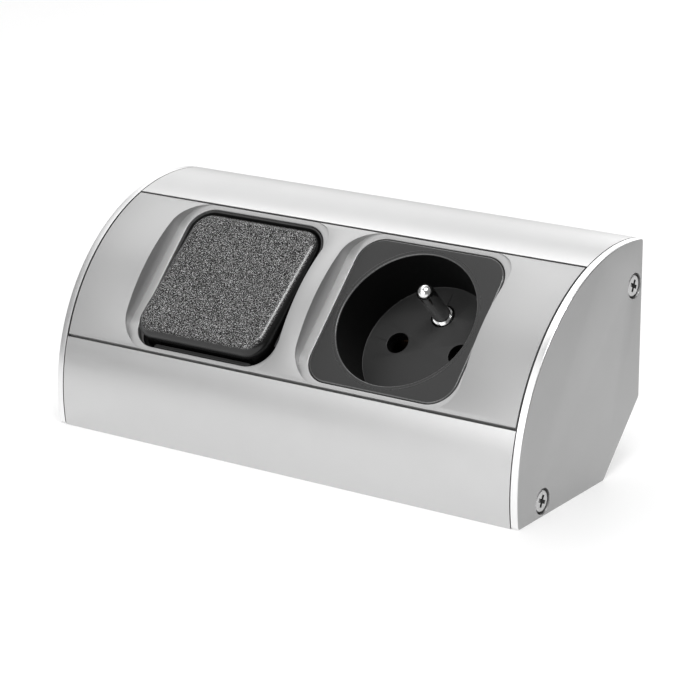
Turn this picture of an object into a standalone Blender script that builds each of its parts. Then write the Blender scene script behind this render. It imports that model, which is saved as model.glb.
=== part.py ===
"""Corner power point: a quarter-round aluminium body with a rocker switch and a type E socket.

World frame in metres: origin at the centre of the bottom of the body's box, +X along the body,
+Y towards the wall behind it, +Z up. The front panel leans back at 45 degrees, so everything that
is fitted square to the panel is built in the panel frame: U along the body, V up along the panel,
W out of the panel, with its origin on the axis of the body's round front.
"""
import math

import bmesh
import bpy
from mathutils import Matrix, Vector

MM = 0.001
GAP = 0.3 * MM  # left between pieces that touch
OVERLAP = 0.5 * MM  # how far joined shapes reach into each other
OVERSHOOT = 1.0 * MM  # how far a cutter passes a surface
SET_IN = 0.01 * MM  # keeps the side of a joined shape off the side of the one it joins

# Body
LENGTH = 147.0 * MM
FRONT_RADIUS = 53.0 * MM
AXIS_INSET = 8.3 * MM  # from the axis of the round front to the back plane and to the bottom plane
DEPTH = FRONT_RADIUS + AXIS_INSET
CHAMFER = 18.0 * MM  # along each plane
WALL = 1.8 * MM
CAP_THICKNESS = 2.0 * MM
CAP_CORNER = 1.0 * MM
CAP_CORNER_REACH = 1.6 * MM  # where the round front gives way to its corner
PROFILE_HALF = LENGTH / 2 - CAP_THICKNESS - GAP
CHANNEL_V = 31.7 * MM  # screw channels for the end caps
CHANNEL_W = 25.7 * MM
CHANNEL_RADIUS = 3.2 * MM
CHANNEL_BORE = 1.75 * MM
EARTH_RIB_LOW = 28.0 * MM
EARTH_RIB_HIGH = 34.0 * MM
EARTH_RIB_DEPTH = 4.2 * MM
WALL_HOLE_X = 61.0 * MM
WALL_HOLE_Z = 39.0 * MM
WALL_HOLE_RADIUS = 2.25 * MM
WALL_HOLE_SINK = 4.0 * MM
WALL_HOLE_DRILL = 6.0 * MM  # depth of the cutter
GROMMET_U = -61.0 * MM
GROMMET_HOLE = 6.5 * MM
GROMMET_BORE = 5.2 * MM
GROMMET_LIP = 7.6 * MM
GROMMET_LIP_HEIGHT = 0.8 * MM
INLET_LOW_W = -5.0 * MM  # span of the cutter for the inlet
INLET_HIGH_W = 8.0 * MM
TAG_RADIUS = 3.2 * MM  # ring tag of the earth bond
TAG_THICKNESS = 0.8 * MM
TAG_END = 9.0 * MM
TAG_HALF_WIDTH = 1.6 * MM
BOND_SCREW_HEAD = 2.9 * MM
BOND_SCREW_HEAD_HEIGHT = 1.8 * MM
BOND_SCREW_SHANK = 1.4 * MM
BOND_SCREW_LENGTH = 4.2 * MM

# Panel and its pockets, windows and catches
FLOOR_W = 47.5 * MM  # flat floor of the pockets
PANEL_HALF = 23.44 * MM
STRIP_EDGE = 23.8 * MM
STRIP_FOOT_W = 45.0 * MM
PLATE = 2.0 * MM
SKIRT_INNER = 22.24 * MM
SKIRT_W = 43.5 * MM
CATCH_V = 24.5 * MM
CATCH_LOW_W = 44.3 * MM
CATCH_HIGH_W = 44.7 * MM
POCKET_HALF_U = 25.3 * MM
POCKET_HALF_V = PANEL_HALF + 0.1 * MM  # just past the panel's long edges
POCKET_CORNER = 8.9 * MM
WINDOW_HALF_U = 22.5 * MM
WINDOW_HALF_V = 21.95 * MM
WINDOW_CORNER = 7.4 * MM
MODULE_U = 28.1 * MM  # either side of the middle
HOLLOW_INNER_U = 55.0 * MM
HOLLOW_OUTER_U = 69.0 * MM
HOLLOW_HALF_V = 18.0 * MM
FLANGE_HALF_U = 24.5 * MM  # module flange under the panel
FLANGE_HALF_V = 14.0 * MM
FLANGE_TOP = -PLATE - GAP
FLANGE_BOTTOM = -3.5 * MM
HOOK_U = 24.8 * MM
HOOK_THICK = 1.2 * MM
HOOK_REACH = 0.7 * MM
HOOK_HALF_V = 5.0 * MM
HOOK_BOTTOM = -4.9 * MM

# Outline shared by the two modules where they fill a window
FRAME_HALF_U = 22.25 * MM
FRAME_HALF_V = 21.7 * MM
FRAME_CORNER = 7.15 * MM

# Rocker, tilted at rest with its lower edge out
ROCKER_PIVOT_W = -4.0 * MM  # from the pocket floor
ROCKER_TILT = math.radians(5.7)
ROCKER_HALF_U = 21.2 * MM
ROCKER_HALF_V = 20.6 * MM
ROCKER_CORNER = 6.0 * MM
ROCKER_TOP = 6.66 * MM  # above the pivot
ROCKER_SKIRT = -2.5 * MM
ROCKER_EDGE = 3.0 * MM
ROCKER_WALL = 1.6 * MM
FRAME_OPEN_U = 21.75 * MM
FRAME_OPEN_V = 21.15 * MM
FRAME_OPEN_CORNER = 6.6 * MM
FRAME_TOP = -0.3 * MM
FRAME_BOTTOM = -8.7 * MM
FRAME_WALL_U = 23.2 * MM
CARRIER_TOP = 4.7 * MM
CARRIER_PLATE = 1.3 * MM
CARRIER_HALF_U = 14.0 * MM
CARRIER_HALF_V = 8.0 * MM
HUB_RADIUS = 3.3 * MM
HUB_BOTTOM = -8.5 * MM
HUB_BORE = 2.2 * MM
HUB_BORE_TOP = 2.7 * MM
PIVOT_RADIUS = 1.5 * MM
PIVOT_CLEARANCE = 0.08 * MM
PIVOT_TIP_U = 17.2 * MM
ARM_INNER_U = 12.6 * MM
ARM_HALF_V = 2.4 * MM
EAR_INNER_U = 14.9 * MM
EAR_OUTER_U = 16.9 * MM
EAR_HALF_V = 3.0 * MM
EAR_TOP = -1.6 * MM

# Contact mechanism of the switch
SWITCH_BASE_TOP = -9.0 * MM
SWITCH_BASE_PLATE = 2.0 * MM
SWITCH_BASE_PLATE_U = 22.5 * MM
SWITCH_BASE_PLATE_V = 21.0 * MM
SWITCH_BASE_HALF_U = 19.5 * MM
SWITCH_BASE_HALF_V = 19.4 * MM
SWITCH_BASE_BOTTOM = -25.0 * MM
BASE_CORNER = 2.5 * MM
CAVITY_HALF_U = 6.0 * MM
CAVITY_HALF_V = 11.0 * MM
CAVITY_FLOOR = -19.2 * MM
SLOT_HALF_U = 3.8 * MM
SLOT_HALF_V = 18.3 * MM
SEESAW_PIVOT_W = -15.5 * MM
SEESAW_TILT = math.radians(8.0)
SEESAW_HALF_U = 2.8 * MM
SEESAW_HALF_V = 8.0 * MM
STRIP = 1.0 * MM  # thickness of the contact strips
STRIP_HALF_U = 3.0 * MM
STRIP_END = 17.8 * MM
SWITCHED_STRIP_START = 3.4 * MM
SWITCH_STRIP_TOP = -19.5 * MM
RIVET_V = 6.5 * MM
RIVET_SHANK = 0.9 * MM
RIVET_HEAD = 1.8 * MM
RIVET_HOLE = 1.2 * MM
RIVET_HEIGHT = 0.9 * MM
RIVET_DOME = 0.35 * MM
RIVET_TAIL = 1.5 * MM
RIVET_TAIL_HEIGHT = 0.5 * MM
RIVET_TAIL_TAPER = 0.2 * MM
FULCRUM = 0.3 * MM  # half width of the edge the contact rocker tips on
FIXED_RIVET_V = 6.2 * MM
TERMINAL_V = 14.0 * MM
TERMINAL_HOLE = 1.6 * MM
TERMINAL_SHANK = 1.3 * MM
TERMINAL_HEAD = 2.8 * MM
TERMINAL_HEAD_HEIGHT = 2.0 * MM
TERMINAL_ROOM = 2.2 * MM  # between the strip and the screw head, for the wire
TERMINAL_REACH = 3.0 * MM  # of the screw past the strip
PLUNGER_TIP = -10.8 * MM
PLUNGER_HEAD_TOP = -4.5 * MM
PLUNGER_HEAD_BOTTOM = -6.5 * MM
PLUNGER_ROD = 1.3 * MM
SPRING_RADIUS = 1.45 * MM
SPRING_WIRE = 0.22 * MM
SPRING_TURNS = 5
SPRING_TOP = 2.3 * MM
SPRING_BOTTOM = -4.1 * MM

# Socket
RECESS_MOUTH = 19.5 * MM
RECESS_BOTTOM = 18.7 * MM
RECESS_DEPTH = 15.0 * MM
CUP_WALL = 1.5 * MM
CUP_FLOOR = 1.8 * MM
PIN_HOLE_U = 9.5 * MM
PIN_HOLE_RADIUS = 3.0 * MM
EARTH_V = 10.0 * MM
EARTH_HOLE_RADIUS = 3.25 * MM
EARTH_PIN_RADIUS = 2.4 * MM
EARTH_PIN_TIP = -1.0 * MM
EARTH_COLLAR_RADIUS = 2.95 * MM
EARTH_COLLAR_TOP = -14.8 * MM
EARTH_COLLAR_BOTTOM = -18.0 * MM
EARTH_SPIGOT_RADIUS = 1.6 * MM
EARTH_SPIGOT_END = -27.6 * MM
SOCKET_BASE_TOP = -RECESS_DEPTH - CUP_FLOOR - GAP
SOCKET_BASE_HALF = 19.4 * MM
SOCKET_BASE_BOTTOM = -31.0 * MM
SOCKET_BASE_FRONT = 1.4 * MM  # thickness in front of the contact slots
POST_CENTRE = 17.4 * MM
POST_HALF = 1.6 * MM
POST_TOP = -3.9 * MM
SOCKET_STRIP_TOP = -27.0 * MM
EARTH_STRAP_TOP = -26.0 * MM
EARTH_STRAP_START = 6.8 * MM
EARTH_TERMINAL_V = 15.3 * MM
EARTH_SLOT_LOW = 6.3 * MM
SLEEVE_GAP = 4.4 * MM  # between the leaves that grip a plug pin
LEAF = 0.8 * MM
LEAF_TOP = -19.0 * MM
LEAF_FLARE = 0.5 * MM
LEAF_FLARE_HEIGHT = 2.0 * MM
CONTACT_SLOT_V = 3.9 * MM

# Fasteners and wires
CAP_SCREW_HEAD = 2.9 * MM
CAP_SCREW_SHANK = 1.4 * MM
CAP_SCREW_LENGTH = 14.0 * MM
CAP_SCREW_SINK = 0.3 * MM  # of the head below the face of the cap
CAP_SCREW_HEAD_HEIGHT = 1.0 * MM
CAP_HOLE_RECESS = 3.4 * MM
CAP_HOLE_RECESS_DEPTH = 1.6 * MM
CROSS_WIDTH = 0.8 * MM
CROSS_LENGTH = 3.2 * MM
CROSS_DEPTH = 0.9 * MM
WIRE_RADIUS = 1.1 * MM
WIRE_BARE_RADIUS = 0.6 * MM
WIRE_BARE_LENGTH = 2.6 * MM
LINK_BENDS = ((1.6, 0.0), (3.2, 0.3), (4.8, 2.2), (5.2, 5.6))  # along and down at each end, in mm
LINK_MIDDLE = ((-22.0, 7.0, 14.0), (-6.0, 0.0, 11.0), (10.0, -7.0, 10.5))  # in mm
EARTH_BENDS = ((1.6, 0.0), (3.2, 0.3), (5.0, 2.6), (5.0, 6.5))
EARTH_SWAY = (0.0, 0.0, -1.0, -4.0)  # along U at each bend, in mm
TAB_STEPS = ((7.5, -2.6, -2.0), (3.0, -0.8, -0.4), (0.0, 0.0, 0.0))  # up to the ring tag, in mm
WIRE_STEP = 3.0 * MM

ROUND = 32  # sides of a large round shape
SMALL_ROUND = 20  # sides of a small one
HOLE_ROUND = 24  # sides of the holes in the socket's floor
ARC_STEP = math.radians(2.2)  # along the round front


# ---------------------------------------------------------------- scene, materials and placing

def clear_scene():
    for obj in list(bpy.data.objects):
        bpy.data.objects.remove(obj, do_unlink=True)


def new_collection(name):
    collection = bpy.data.collections.new(name)
    bpy.context.scene.collection.children.link(collection)
    return collection


def new_material(name, colour, roughness, metallic):
    material = bpy.data.materials.new(name)
    material.use_nodes = True
    shader = material.node_tree.nodes["Principled BSDF"]
    shader.inputs["Base Color"].default_value = (*colour, 1.0)
    shader.inputs["Roughness"].default_value = roughness
    shader.inputs["Metallic"].default_value = metallic
    material.diffuse_color = (*colour, 1.0)
    return material


def new_frame(name, location, tilt, parent=None):
    """An empty that a group of pieces is built around, turned about X by tilt."""
    empty = bpy.data.objects.new(name, None)
    empty.location = location
    empty.rotation_euler = (tilt, 0.0, 0.0)
    empty.empty_display_size = 5 * MM
    empty.parent = parent
    PARTS.objects.link(empty)
    return empty


def add_part(name, mesh, material, parent):
    """A node of the object. Its mesh is in the frame of its parent."""
    obj = bpy.data.objects.new(name, mesh)
    obj.parent = parent
    own = material.copy()
    own.name = name
    mesh.materials.clear()
    mesh.materials.append(own)
    PARTS.objects.link(obj)
    return obj


def add_helper(name, mesh, parent):
    obj = bpy.data.objects.new(name, mesh)
    obj.parent = parent
    obj.hide_render = True
    obj.display_type = "WIRE"
    HELPERS.objects.link(obj)
    return obj


def add_boolean(obj, mesh, name, operation):
    helper = add_helper(f"{obj.name}_{name}", mesh, obj.parent)
    modifier = obj.modifiers.new(name, "BOOLEAN")
    modifier.operation = operation
    modifier.solver = "EXACT"
    modifier.object = helper


def cut(obj, mesh, name):
    add_boolean(obj, mesh, name, "DIFFERENCE")


def join(obj, mesh, name):
    add_boolean(obj, mesh, name, "UNION")


def shade(mesh, angle=30.0):
    mesh.shade_smooth()
    mesh.set_sharp_from_angle(angle=math.radians(angle))
    return mesh


# ---------------------------------------------------------------- outlines, in a plane

def arc_points(radius, start, end, centre=(0.0, 0.0), step=ARC_STEP):
    count = max(2, math.ceil(abs(end - start) / step))
    angles = [start + (end - start) * i / count for i in range(count + 1)]
    return [(centre[0] + radius * math.cos(a), centre[1] + radius * math.sin(a)) for a in angles]


def rounded_rectangle(half_x, half_y, radius, centre=(0.0, 0.0), sides=6):
    points = []
    for corner, (sx, sy) in enumerate(((1, 1), (-1, 1), (-1, -1), (1, -1))):
        middle = (centre[0] + sx * (half_x - radius), centre[1] + sy * (half_y - radius))
        start = corner * math.pi / 2
        points += arc_points(radius, start, start + math.pi / 2, middle, math.pi / 2 / sides)
    return points


def fillet(before, corner, after, radius, sides=4):
    """Points of a round corner between two straight edges."""
    corner = Vector(corner)
    first = (Vector(before) - corner).normalized()
    second = (Vector(after) - corner).normalized()
    half = first.angle(second) / 2
    reach = radius / math.tan(half)
    centre = corner + (first + second).normalized() * radius / math.sin(half)
    start = corner + first * reach - centre
    turn = start.angle_signed(corner + second * reach - centre)
    spots = []
    for i in range(sides + 1):
        spot = centre + Matrix.Rotation(-turn * i / sides, 2) @ start
        spots.append(tuple(spot))
    return spots


def body_corners(inset):
    """End of the round front and corner of the chamfer, with positive V, set in by a wall."""
    reach = AXIS_INSET - inset
    angle = math.pi / 4 + math.asin(reach / (FRONT_RADIUS - inset))
    front = ((FRONT_RADIUS - inset) * math.sin(angle), (FRONT_RADIUS - inset) * math.cos(angle))
    chamfer_w = (CHAMFER / 2 - AXIS_INSET) * math.sqrt(2) + inset
    chamfer = (chamfer_w + reach * math.sqrt(2), chamfer_w)
    return front, chamfer


def front_arc(v_start, v_end, radius):
    """Points along the round front between two values of V."""
    start = math.acos(v_start / radius)
    end = math.acos(v_end / radius)
    return arc_points(radius, start, end)


# ---------------------------------------------------------------- meshes

def curve_mesh(curve):
    """The closed mesh of a curve, with its caps welded. The curve is removed."""
    obj = bpy.data.objects.new("curve", curve)
    bpy.context.scene.collection.objects.link(obj)
    graph = bpy.context.evaluated_depsgraph_get()
    mesh = bpy.data.meshes.new_from_object(obj.evaluated_get(graph))
    bpy.data.objects.remove(obj, do_unlink=True)
    bpy.data.curves.remove(curve)
    shape = bmesh.new()
    shape.from_mesh(mesh)
    bmesh.ops.remove_doubles(shape, verts=shape.verts, dist=1e-6)
    bmesh.ops.recalc_face_normals(shape, faces=shape.faces)
    shape.to_mesh(mesh)
    shape.free()
    return mesh


def outline_mesh(loops, low, high):
    """A flat outline in XY, with any further loops as holes, from low to high along Z."""
    curve = bpy.data.curves.new("outline", "CURVE")
    curve.dimensions = "2D"
    curve.fill_mode = "BOTH"
    curve.extrude = (high - low) / 2
    for loop in loops:
        spline = curve.splines.new("POLY")
        spline.points.add(len(loop) - 1)
        spline.use_cyclic_u = True
        for point, (x, y) in zip(spline.points, loop):
            point.co = (x, y, 0.0, 1.0)
    mesh = curve_mesh(curve)
    mesh.transform(Matrix.Translation((0.0, 0.0, (low + high) / 2)))
    return mesh


def section_mesh(loops, low, high):
    """An outline in V and W, from low to high along U."""
    mesh = outline_mesh(loops, low, high)
    mesh.transform(Matrix(((0, 0, 1, 0), (1, 0, 0, 0), (0, 1, 0, 0), (0, 0, 0, 1))))
    return mesh


def box_mesh(low, high):
    shape = bmesh.new()
    bmesh.ops.create_cube(shape, size=1.0)
    size = Vector(high) - Vector(low)
    bmesh.ops.scale(shape, vec=size, verts=shape.verts)
    bmesh.ops.translate(shape, vec=(Vector(high) + Vector(low)) / 2, verts=shape.verts)
    mesh = bpy.data.meshes.new("box")
    shape.to_mesh(mesh)
    shape.free()
    return mesh


def slab_mesh(half_u, half_v, low, high, centre=(0.0, 0.0)):
    u, v = centre
    return box_mesh((u - half_u, v - half_v, low), (u + half_u, v + half_v, high))


def cylinder_mesh(radius, low, high, centre=(0.0, 0.0), sides=SMALL_ROUND, top_radius=None):
    """A cylinder or cone along Z."""
    shape = bmesh.new()
    bmesh.ops.create_cone(
        shape,
        cap_ends=True,
        segments=sides,
        radius1=radius,
        radius2=radius if top_radius is None else top_radius,
        depth=high - low,
    )
    bmesh.ops.translate(shape, vec=(*centre, (low + high) / 2), verts=shape.verts)
    mesh = bpy.data.meshes.new("cylinder")
    shape.to_mesh(mesh)
    shape.free()
    return mesh


def lying_cylinder_mesh(radius, low, high, centre, sides=SMALL_ROUND):
    """A cylinder along U, with its centre in V and W."""
    mesh = cylinder_mesh(radius, low, high, (0.0, 0.0), sides)
    mesh.transform(Matrix.Rotation(math.pi / 2, 4, "Y"))
    mesh.transform(Matrix.Translation((0.0, *centre)))
    return mesh


def add_turned(name, profile, material, parent, place=Matrix(), sides=SMALL_ROUND, closed=False):
    """A turned piece. The profile runs down its outer side, as (radius, height) pairs."""
    shape = bmesh.new()
    verts = [shape.verts.new((radius, 0.0, height)) for radius, height in profile]
    for first, second in zip(verts, verts[1:]):
        shape.edges.new((first, second))
    if closed:
        shape.edges.new((verts[-1], verts[0]))
    mesh = bpy.data.meshes.new(name)
    shape.to_mesh(mesh)
    shape.free()
    obj = add_part(name, mesh, material, parent)
    obj.matrix_local = place
    turn = obj.modifiers.new("turn", "SCREW")
    turn.axis = "Z"
    turn.angle = 2 * math.pi
    turn.steps = sides
    turn.render_steps = sides
    turn.use_merge_vertices = True
    turn.merge_threshold = 1e-6
    turn.use_smooth_shade = True
    return obj


def smooth_route(points, step):
    """Points about one step apart on a smooth curve through the given ones."""
    spots = [Vector(p) for p in points]
    ends = [2 * spots[0] - spots[1]] + spots + [2 * spots[-1] - spots[-2]]
    route = []
    for a, b, c, d in zip(ends, ends[1:], ends[2:], ends[3:]):
        count = max(1, round((c - b).length / step))
        for i in range(count):
            t = i / count
            bend = 2 * b + (c - a) * t + (2 * a - 5 * b + 4 * c - d) * t * t
            route.append((bend + (3 * b - a - 3 * c + d) * t ** 3) / 2)
    route.append(spots[-1])
    return route


def add_wire(name, route, radii, material, parent, resolution=2):
    """A round wire along a route, with its radius at each point."""
    curve = bpy.data.curves.new(name, "CURVE")
    curve.dimensions = "3D"
    curve.bevel_depth = 1.0
    curve.bevel_resolution = resolution
    curve.use_fill_caps = True
    spline = curve.splines.new("POLY")
    spline.points.add(len(route) - 1)
    for point, spot, radius in zip(spline.points, route, radii):
        point.co = (*spot, 1.0)
        point.radius = radius
    return add_part(name, shade(curve_mesh(curve)), material, parent)


# ---------------------------------------------------------------- body

def make_housing():
    front, chamfer = body_corners(0.0)
    inner_front, inner_chamfer = body_corners(WALL)
    outer = front_arc(STRIP_EDGE, front[0], FRONT_RADIUS)
    inner_radius = FRONT_RADIUS - WALL
    foot_v = math.sqrt(inner_radius ** 2 - STRIP_FOOT_W ** 2)
    inner = front_arc(foot_v, inner_front[0], inner_radius)
    outer_half = outer + [chamfer]
    inner_half = [(STRIP_EDGE, STRIP_FOOT_W)] + inner + [inner_chamfer]
    outline = outer_half + [(-v, w) for v, w in reversed(outer_half)]
    outline += [(-v, w) for v, w in inner_half] + list(reversed(inner_half))
    mesh = section_mesh([outline], -PROFILE_HALF, PROFILE_HALF)
    housing = add_part("housing_profile", shade(mesh), ALUMINIUM, PANEL_FRAME)
    far = PROFILE_HALF + OVERSHOOT
    for name, side in (("upper", 1), ("lower", -1)):
        centre = (side * CHANNEL_V, CHANNEL_W)
        channel = lying_cylinder_mesh(CHANNEL_RADIUS, -PROFILE_HALF, PROFILE_HALF, centre)
        join(housing, channel, f"{name}_channel")
        cut(housing, lying_cylinder_mesh(CHANNEL_BORE, -far, far, centre), f"{name}_bore")
    back_y = DEPTH / 2
    rib = box_mesh(
        (-PROFILE_HALF, back_y - EARTH_RIB_DEPTH, EARTH_RIB_LOW),
        (PROFILE_HALF, back_y - OVERLAP, EARTH_RIB_HIGH),
    )
    rib.transform(TO_PANEL)
    join(housing, rib, "earth_rib")
    inlet = cylinder_mesh(GROMMET_HOLE, INLET_LOW_W, INLET_HIGH_W, (GROMMET_U, 0.0), ROUND)
    cut(housing, inlet, "inlet")
    drill = lying_along_y(CHANNEL_BORE, back_y - EARTH_RIB_DEPTH - OVERSHOOT, back_y - OVERSHOOT)
    drill.transform(Matrix.Translation((0.0, 0.0, EARTH_SCREW_Z)))
    drill.transform(TO_PANEL)
    cut(housing, drill, "earth_hole")
    for name, side in (("left", -1), ("right", 1)):
        place = TO_PANEL @ Matrix.Translation((side * WALL_HOLE_X, 0.0, WALL_HOLE_Z))
        hole = lying_along_y(WALL_HOLE_RADIUS, back_y - WALL_HOLE_DRILL, back_y + OVERSHOOT)
        hole.transform(place)
        cut(housing, hole, f"{name}_wall_hole")
        sink = lying_along_y(
            WALL_HOLE_SINK + OVERSHOOT,
            back_y - WALL - OVERSHOOT,
            back_y - WALL + WALL_HOLE_SINK - WALL_HOLE_RADIUS,
            WALL_HOLE_RADIUS,
        )
        sink.transform(place)
        cut(housing, sink, f"{name}_wall_sink")
    return housing


def lying_along_y(radius, low, high, far_radius=None):
    """A cylinder along world Y, at X and Z zero; far_radius makes it a cone."""
    mesh = cylinder_mesh(radius, low, high, (0.0, 0.0), SMALL_ROUND, far_radius)
    mesh.transform(Matrix.Rotation(-math.pi / 2, 4, "X"))
    return mesh


def make_panel():
    half = [(SKIRT_INNER, FLOOR_W - PLATE), (SKIRT_INNER, SKIRT_W), (PANEL_HALF, SKIRT_W)]
    half += [(CATCH_V, CATCH_LOW_W), (CATCH_V, CATCH_HIGH_W), (PANEL_HALF, CATCH_HIGH_W)]
    half += front_arc(PANEL_HALF, 0.0, FRONT_RADIUS)
    outline = half + [(-v, w) for v, w in reversed(half[:-1])]
    mesh = section_mesh([outline], -PROFILE_HALF, PROFILE_HALF)
    panel = add_part("front_panel", shade(mesh), PANEL_PLASTIC, PANEL_FRAME)
    for name, side in (("switch", -1), ("socket", 1)):
        centre = (side * MODULE_U, 0.0)
        pocket = rounded_rectangle(POCKET_HALF_U, POCKET_HALF_V, POCKET_CORNER, centre)
        cut(panel, outline_mesh([pocket], FLOOR_W, FRONT_RADIUS + OVERSHOOT), f"{name}_pocket")
        window = rounded_rectangle(WINDOW_HALF_U, WINDOW_HALF_V, WINDOW_CORNER, centre)
        cut(panel, outline_mesh([window], SKIRT_W, FLOOR_W + OVERSHOOT), f"{name}_window")
        for end, turn in (("left", -1), ("right", 1)):
            join(panel, hook_mesh(side * MODULE_U, turn), f"{name}_{end}_hook")
        hollow = [(HOLLOW_HALF_V, FLOOR_W - PLATE - OVERSHOOT)]
        hollow += front_arc(HOLLOW_HALF_V, 0.0, FRONT_RADIUS - PLATE)
        hollow += [(-v, w) for v, w in reversed(hollow[:-1])]
        ends = sorted((side * HOLLOW_INNER_U, side * HOLLOW_OUTER_U))
        cut(panel, section_mesh([hollow], *ends), f"{name}_hollow")
    return panel


def hook_mesh(centre_u, turn):
    """A snap hook under the panel that holds one side of a module's flange."""
    inner = HOOK_U - HOOK_REACH
    catch = FLANGE_BOTTOM - GAP
    outline = [
        (HOOK_U, -PLATE + OVERLAP),
        (HOOK_U, catch),
        (inner, catch),
        (HOOK_U, HOOK_BOTTOM),
        (HOOK_U + HOOK_THICK, HOOK_BOTTOM),
        (HOOK_U + HOOK_THICK, -PLATE + OVERLAP),
    ]
    mesh = outline_mesh([outline], -HOOK_HALF_V, HOOK_HALF_V)
    mesh.transform(Matrix.Rotation(math.pi / 2, 4, "X"))
    if turn < 0:
        mesh.transform(Matrix.Rotation(math.pi, 4, "Z"))
    mesh.transform(Matrix.Translation((centre_u, 0.0, FLOOR_W)))
    return mesh


def make_end_cap(name, side):
    front, chamfer = body_corners(0.0)
    arc = front_arc(0.0, front[0], FRONT_RADIUS)
    half = [p for p in arc if p[0] < front[0] - CAP_CORNER_REACH]
    half += fillet(half[-1], front, chamfer, CAP_CORNER)
    half += fillet(front, chamfer, (-chamfer[0], chamfer[1]), CAP_CORNER)
    outline = half + [(-v, w) for v, w in reversed(half[1:])]
    inner = side * (LENGTH / 2 - CAP_THICKNESS)
    outer = side * LENGTH / 2
    mesh = section_mesh([outline], min(inner, outer), max(inner, outer))
    cap = add_part(name, shade(mesh), CAP_METAL, PANEL_FRAME)
    for place, turn in (("upper", 1), ("lower", -1)):
        centre = (turn * CHANNEL_V, CHANNEL_W)
        span = sorted((inner - side * OVERSHOOT, outer + side * OVERSHOOT))
        cut(cap, lying_cylinder_mesh(CHANNEL_BORE, *span, centre), f"{place}_hole")
        span = sorted((outer - side * CAP_HOLE_RECESS_DEPTH, outer + side * OVERSHOOT))
        cut(cap, lying_cylinder_mesh(CAP_HOLE_RECESS, *span, centre), f"{place}_recess")
    return cap


def screw_profile(head, height, shank, length, bevel=0.3 * MM, point=1.0 * MM):
    """A screw along Z with its head's top at zero, pointing down."""
    return [
        (0.0, 0.0),
        (head - bevel, 0.0),
        (head, -bevel),
        (head, -height),
        (shank, -height),
        (shank, -height - length + point),
        (shank * 0.4, -height - length),
        (0.0, -height - length),
    ]


def cross_meshes(place):
    """The two bars of a cross recess in a screw head at place."""
    bars = []
    for length, width in ((CROSS_LENGTH, CROSS_WIDTH), (CROSS_WIDTH, CROSS_LENGTH)):
        bar = slab_mesh(length / 2, width / 2, -CROSS_DEPTH, OVERSHOOT)
        bar.transform(place)
        bars.append(bar)
    return bars


def make_cap_screw(name, side, turn):
    head_u = side * (LENGTH / 2 - CAP_SCREW_SINK)
    place = Matrix.Translation((head_u, turn * CHANNEL_V, CHANNEL_W))
    place = place @ Matrix.Rotation(side * math.pi / 2, 4, "Y")
    profile = screw_profile(CAP_SCREW_HEAD, CAP_SCREW_HEAD_HEIGHT, CAP_SCREW_SHANK, CAP_SCREW_LENGTH)
    screw = add_turned(name, profile, STEEL, PANEL_FRAME, place)
    for i, bar in enumerate(cross_meshes(place)):
        cut(screw, bar, f"bar_{i}")
    return screw


def make_grommet():
    """A rubber ring in the chamfer, with a groove that grips the wall's edge."""
    wall_low = body_corners(0.0)[1][1]
    wall_high = body_corners(WALL)[1][1]
    slope = GROMMET_LIP - GROMMET_LIP_HEIGHT
    neck = GROMMET_HOLE - GAP
    top = wall_high + GAP + GROMMET_LIP_HEIGHT
    bottom = wall_low - GAP - GROMMET_LIP_HEIGHT
    profile = [
        (GROMMET_BORE, top),
        (slope, top),
        (GROMMET_LIP, wall_high + GAP),
        (neck, wall_high + GAP),
        (neck, wall_low - GAP),
        (GROMMET_LIP, wall_low - GAP),
        (slope, bottom),
        (GROMMET_BORE, bottom),
    ]
    place = Matrix.Translation((GROMMET_U, 0.0, 0.0))
    return add_turned("cable_grommet", profile, RUBBER, PANEL_FRAME, place, ROUND, closed=True)


def make_earth_bond():
    """Ring tag and screw on the rib behind the modules."""
    face_y = DEPTH / 2 - EARTH_RIB_DEPTH
    tag_back = face_y - GAP
    tag_front = tag_back - TAG_THICKNESS
    start = math.asin(TAG_HALF_WIDTH / TAG_RADIUS)
    side = 2 * math.pi / SMALL_ROUND
    ring = arc_points(TAG_RADIUS, start, 2 * math.pi - start, step=side)
    ring += [(TAG_END, -TAG_HALF_WIDTH), (TAG_END, TAG_HALF_WIDTH)]
    hole = arc_points(CHANNEL_BORE, 0.0, 2 * math.pi, step=side)[:-1]
    mesh = outline_mesh([ring, hole], -tag_back, -tag_front)
    mesh.transform(Matrix.Rotation(math.pi / 2, 4, "X"))
    mesh.transform(Matrix.Translation((0.0, 0.0, EARTH_SCREW_Z)))
    mesh.transform(TO_PANEL)
    add_part("earth_ring_tag", mesh, BRASS, PANEL_FRAME)
    head_front = tag_front - GAP - BOND_SCREW_HEAD_HEIGHT
    place = TO_PANEL @ Matrix.Translation((0.0, head_front, EARTH_SCREW_Z))
    place = place @ Matrix.Rotation(math.pi / 2, 4, "X")
    profile = screw_profile(
        BOND_SCREW_HEAD, BOND_SCREW_HEAD_HEIGHT, BOND_SCREW_SHANK, BOND_SCREW_LENGTH
    )
    screw = add_turned("earth_bond_screw", profile, STEEL, PANEL_FRAME, place)
    for i, bar in enumerate(cross_meshes(place)):
        cut(screw, bar, f"bar_{i}")


# ---------------------------------------------------------------- switch

def make_switch_frame():
    outer = rounded_rectangle(FRAME_HALF_U, FRAME_HALF_V, FRAME_CORNER)
    opening = rounded_rectangle(FRAME_OPEN_U, FRAME_OPEN_V, FRAME_OPEN_CORNER)
    mesh = outline_mesh([outer], FRAME_BOTTOM, FRAME_TOP)
    frame = add_part("switch_frame", shade(mesh), BLACK_SATIN, SWITCH_FRAME)
    wall = rounded_rectangle(FRAME_WALL_U, FRAME_HALF_V - SET_IN, FRAME_CORNER)
    join(frame, outline_mesh([wall], FRAME_BOTTOM, FLANGE_TOP), "wall")
    join(frame, flange_mesh(), "flange")
    cut(frame, outline_mesh([opening], FRAME_BOTTOM - OVERSHOOT, OVERSHOOT), "opening")
    return frame


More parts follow.
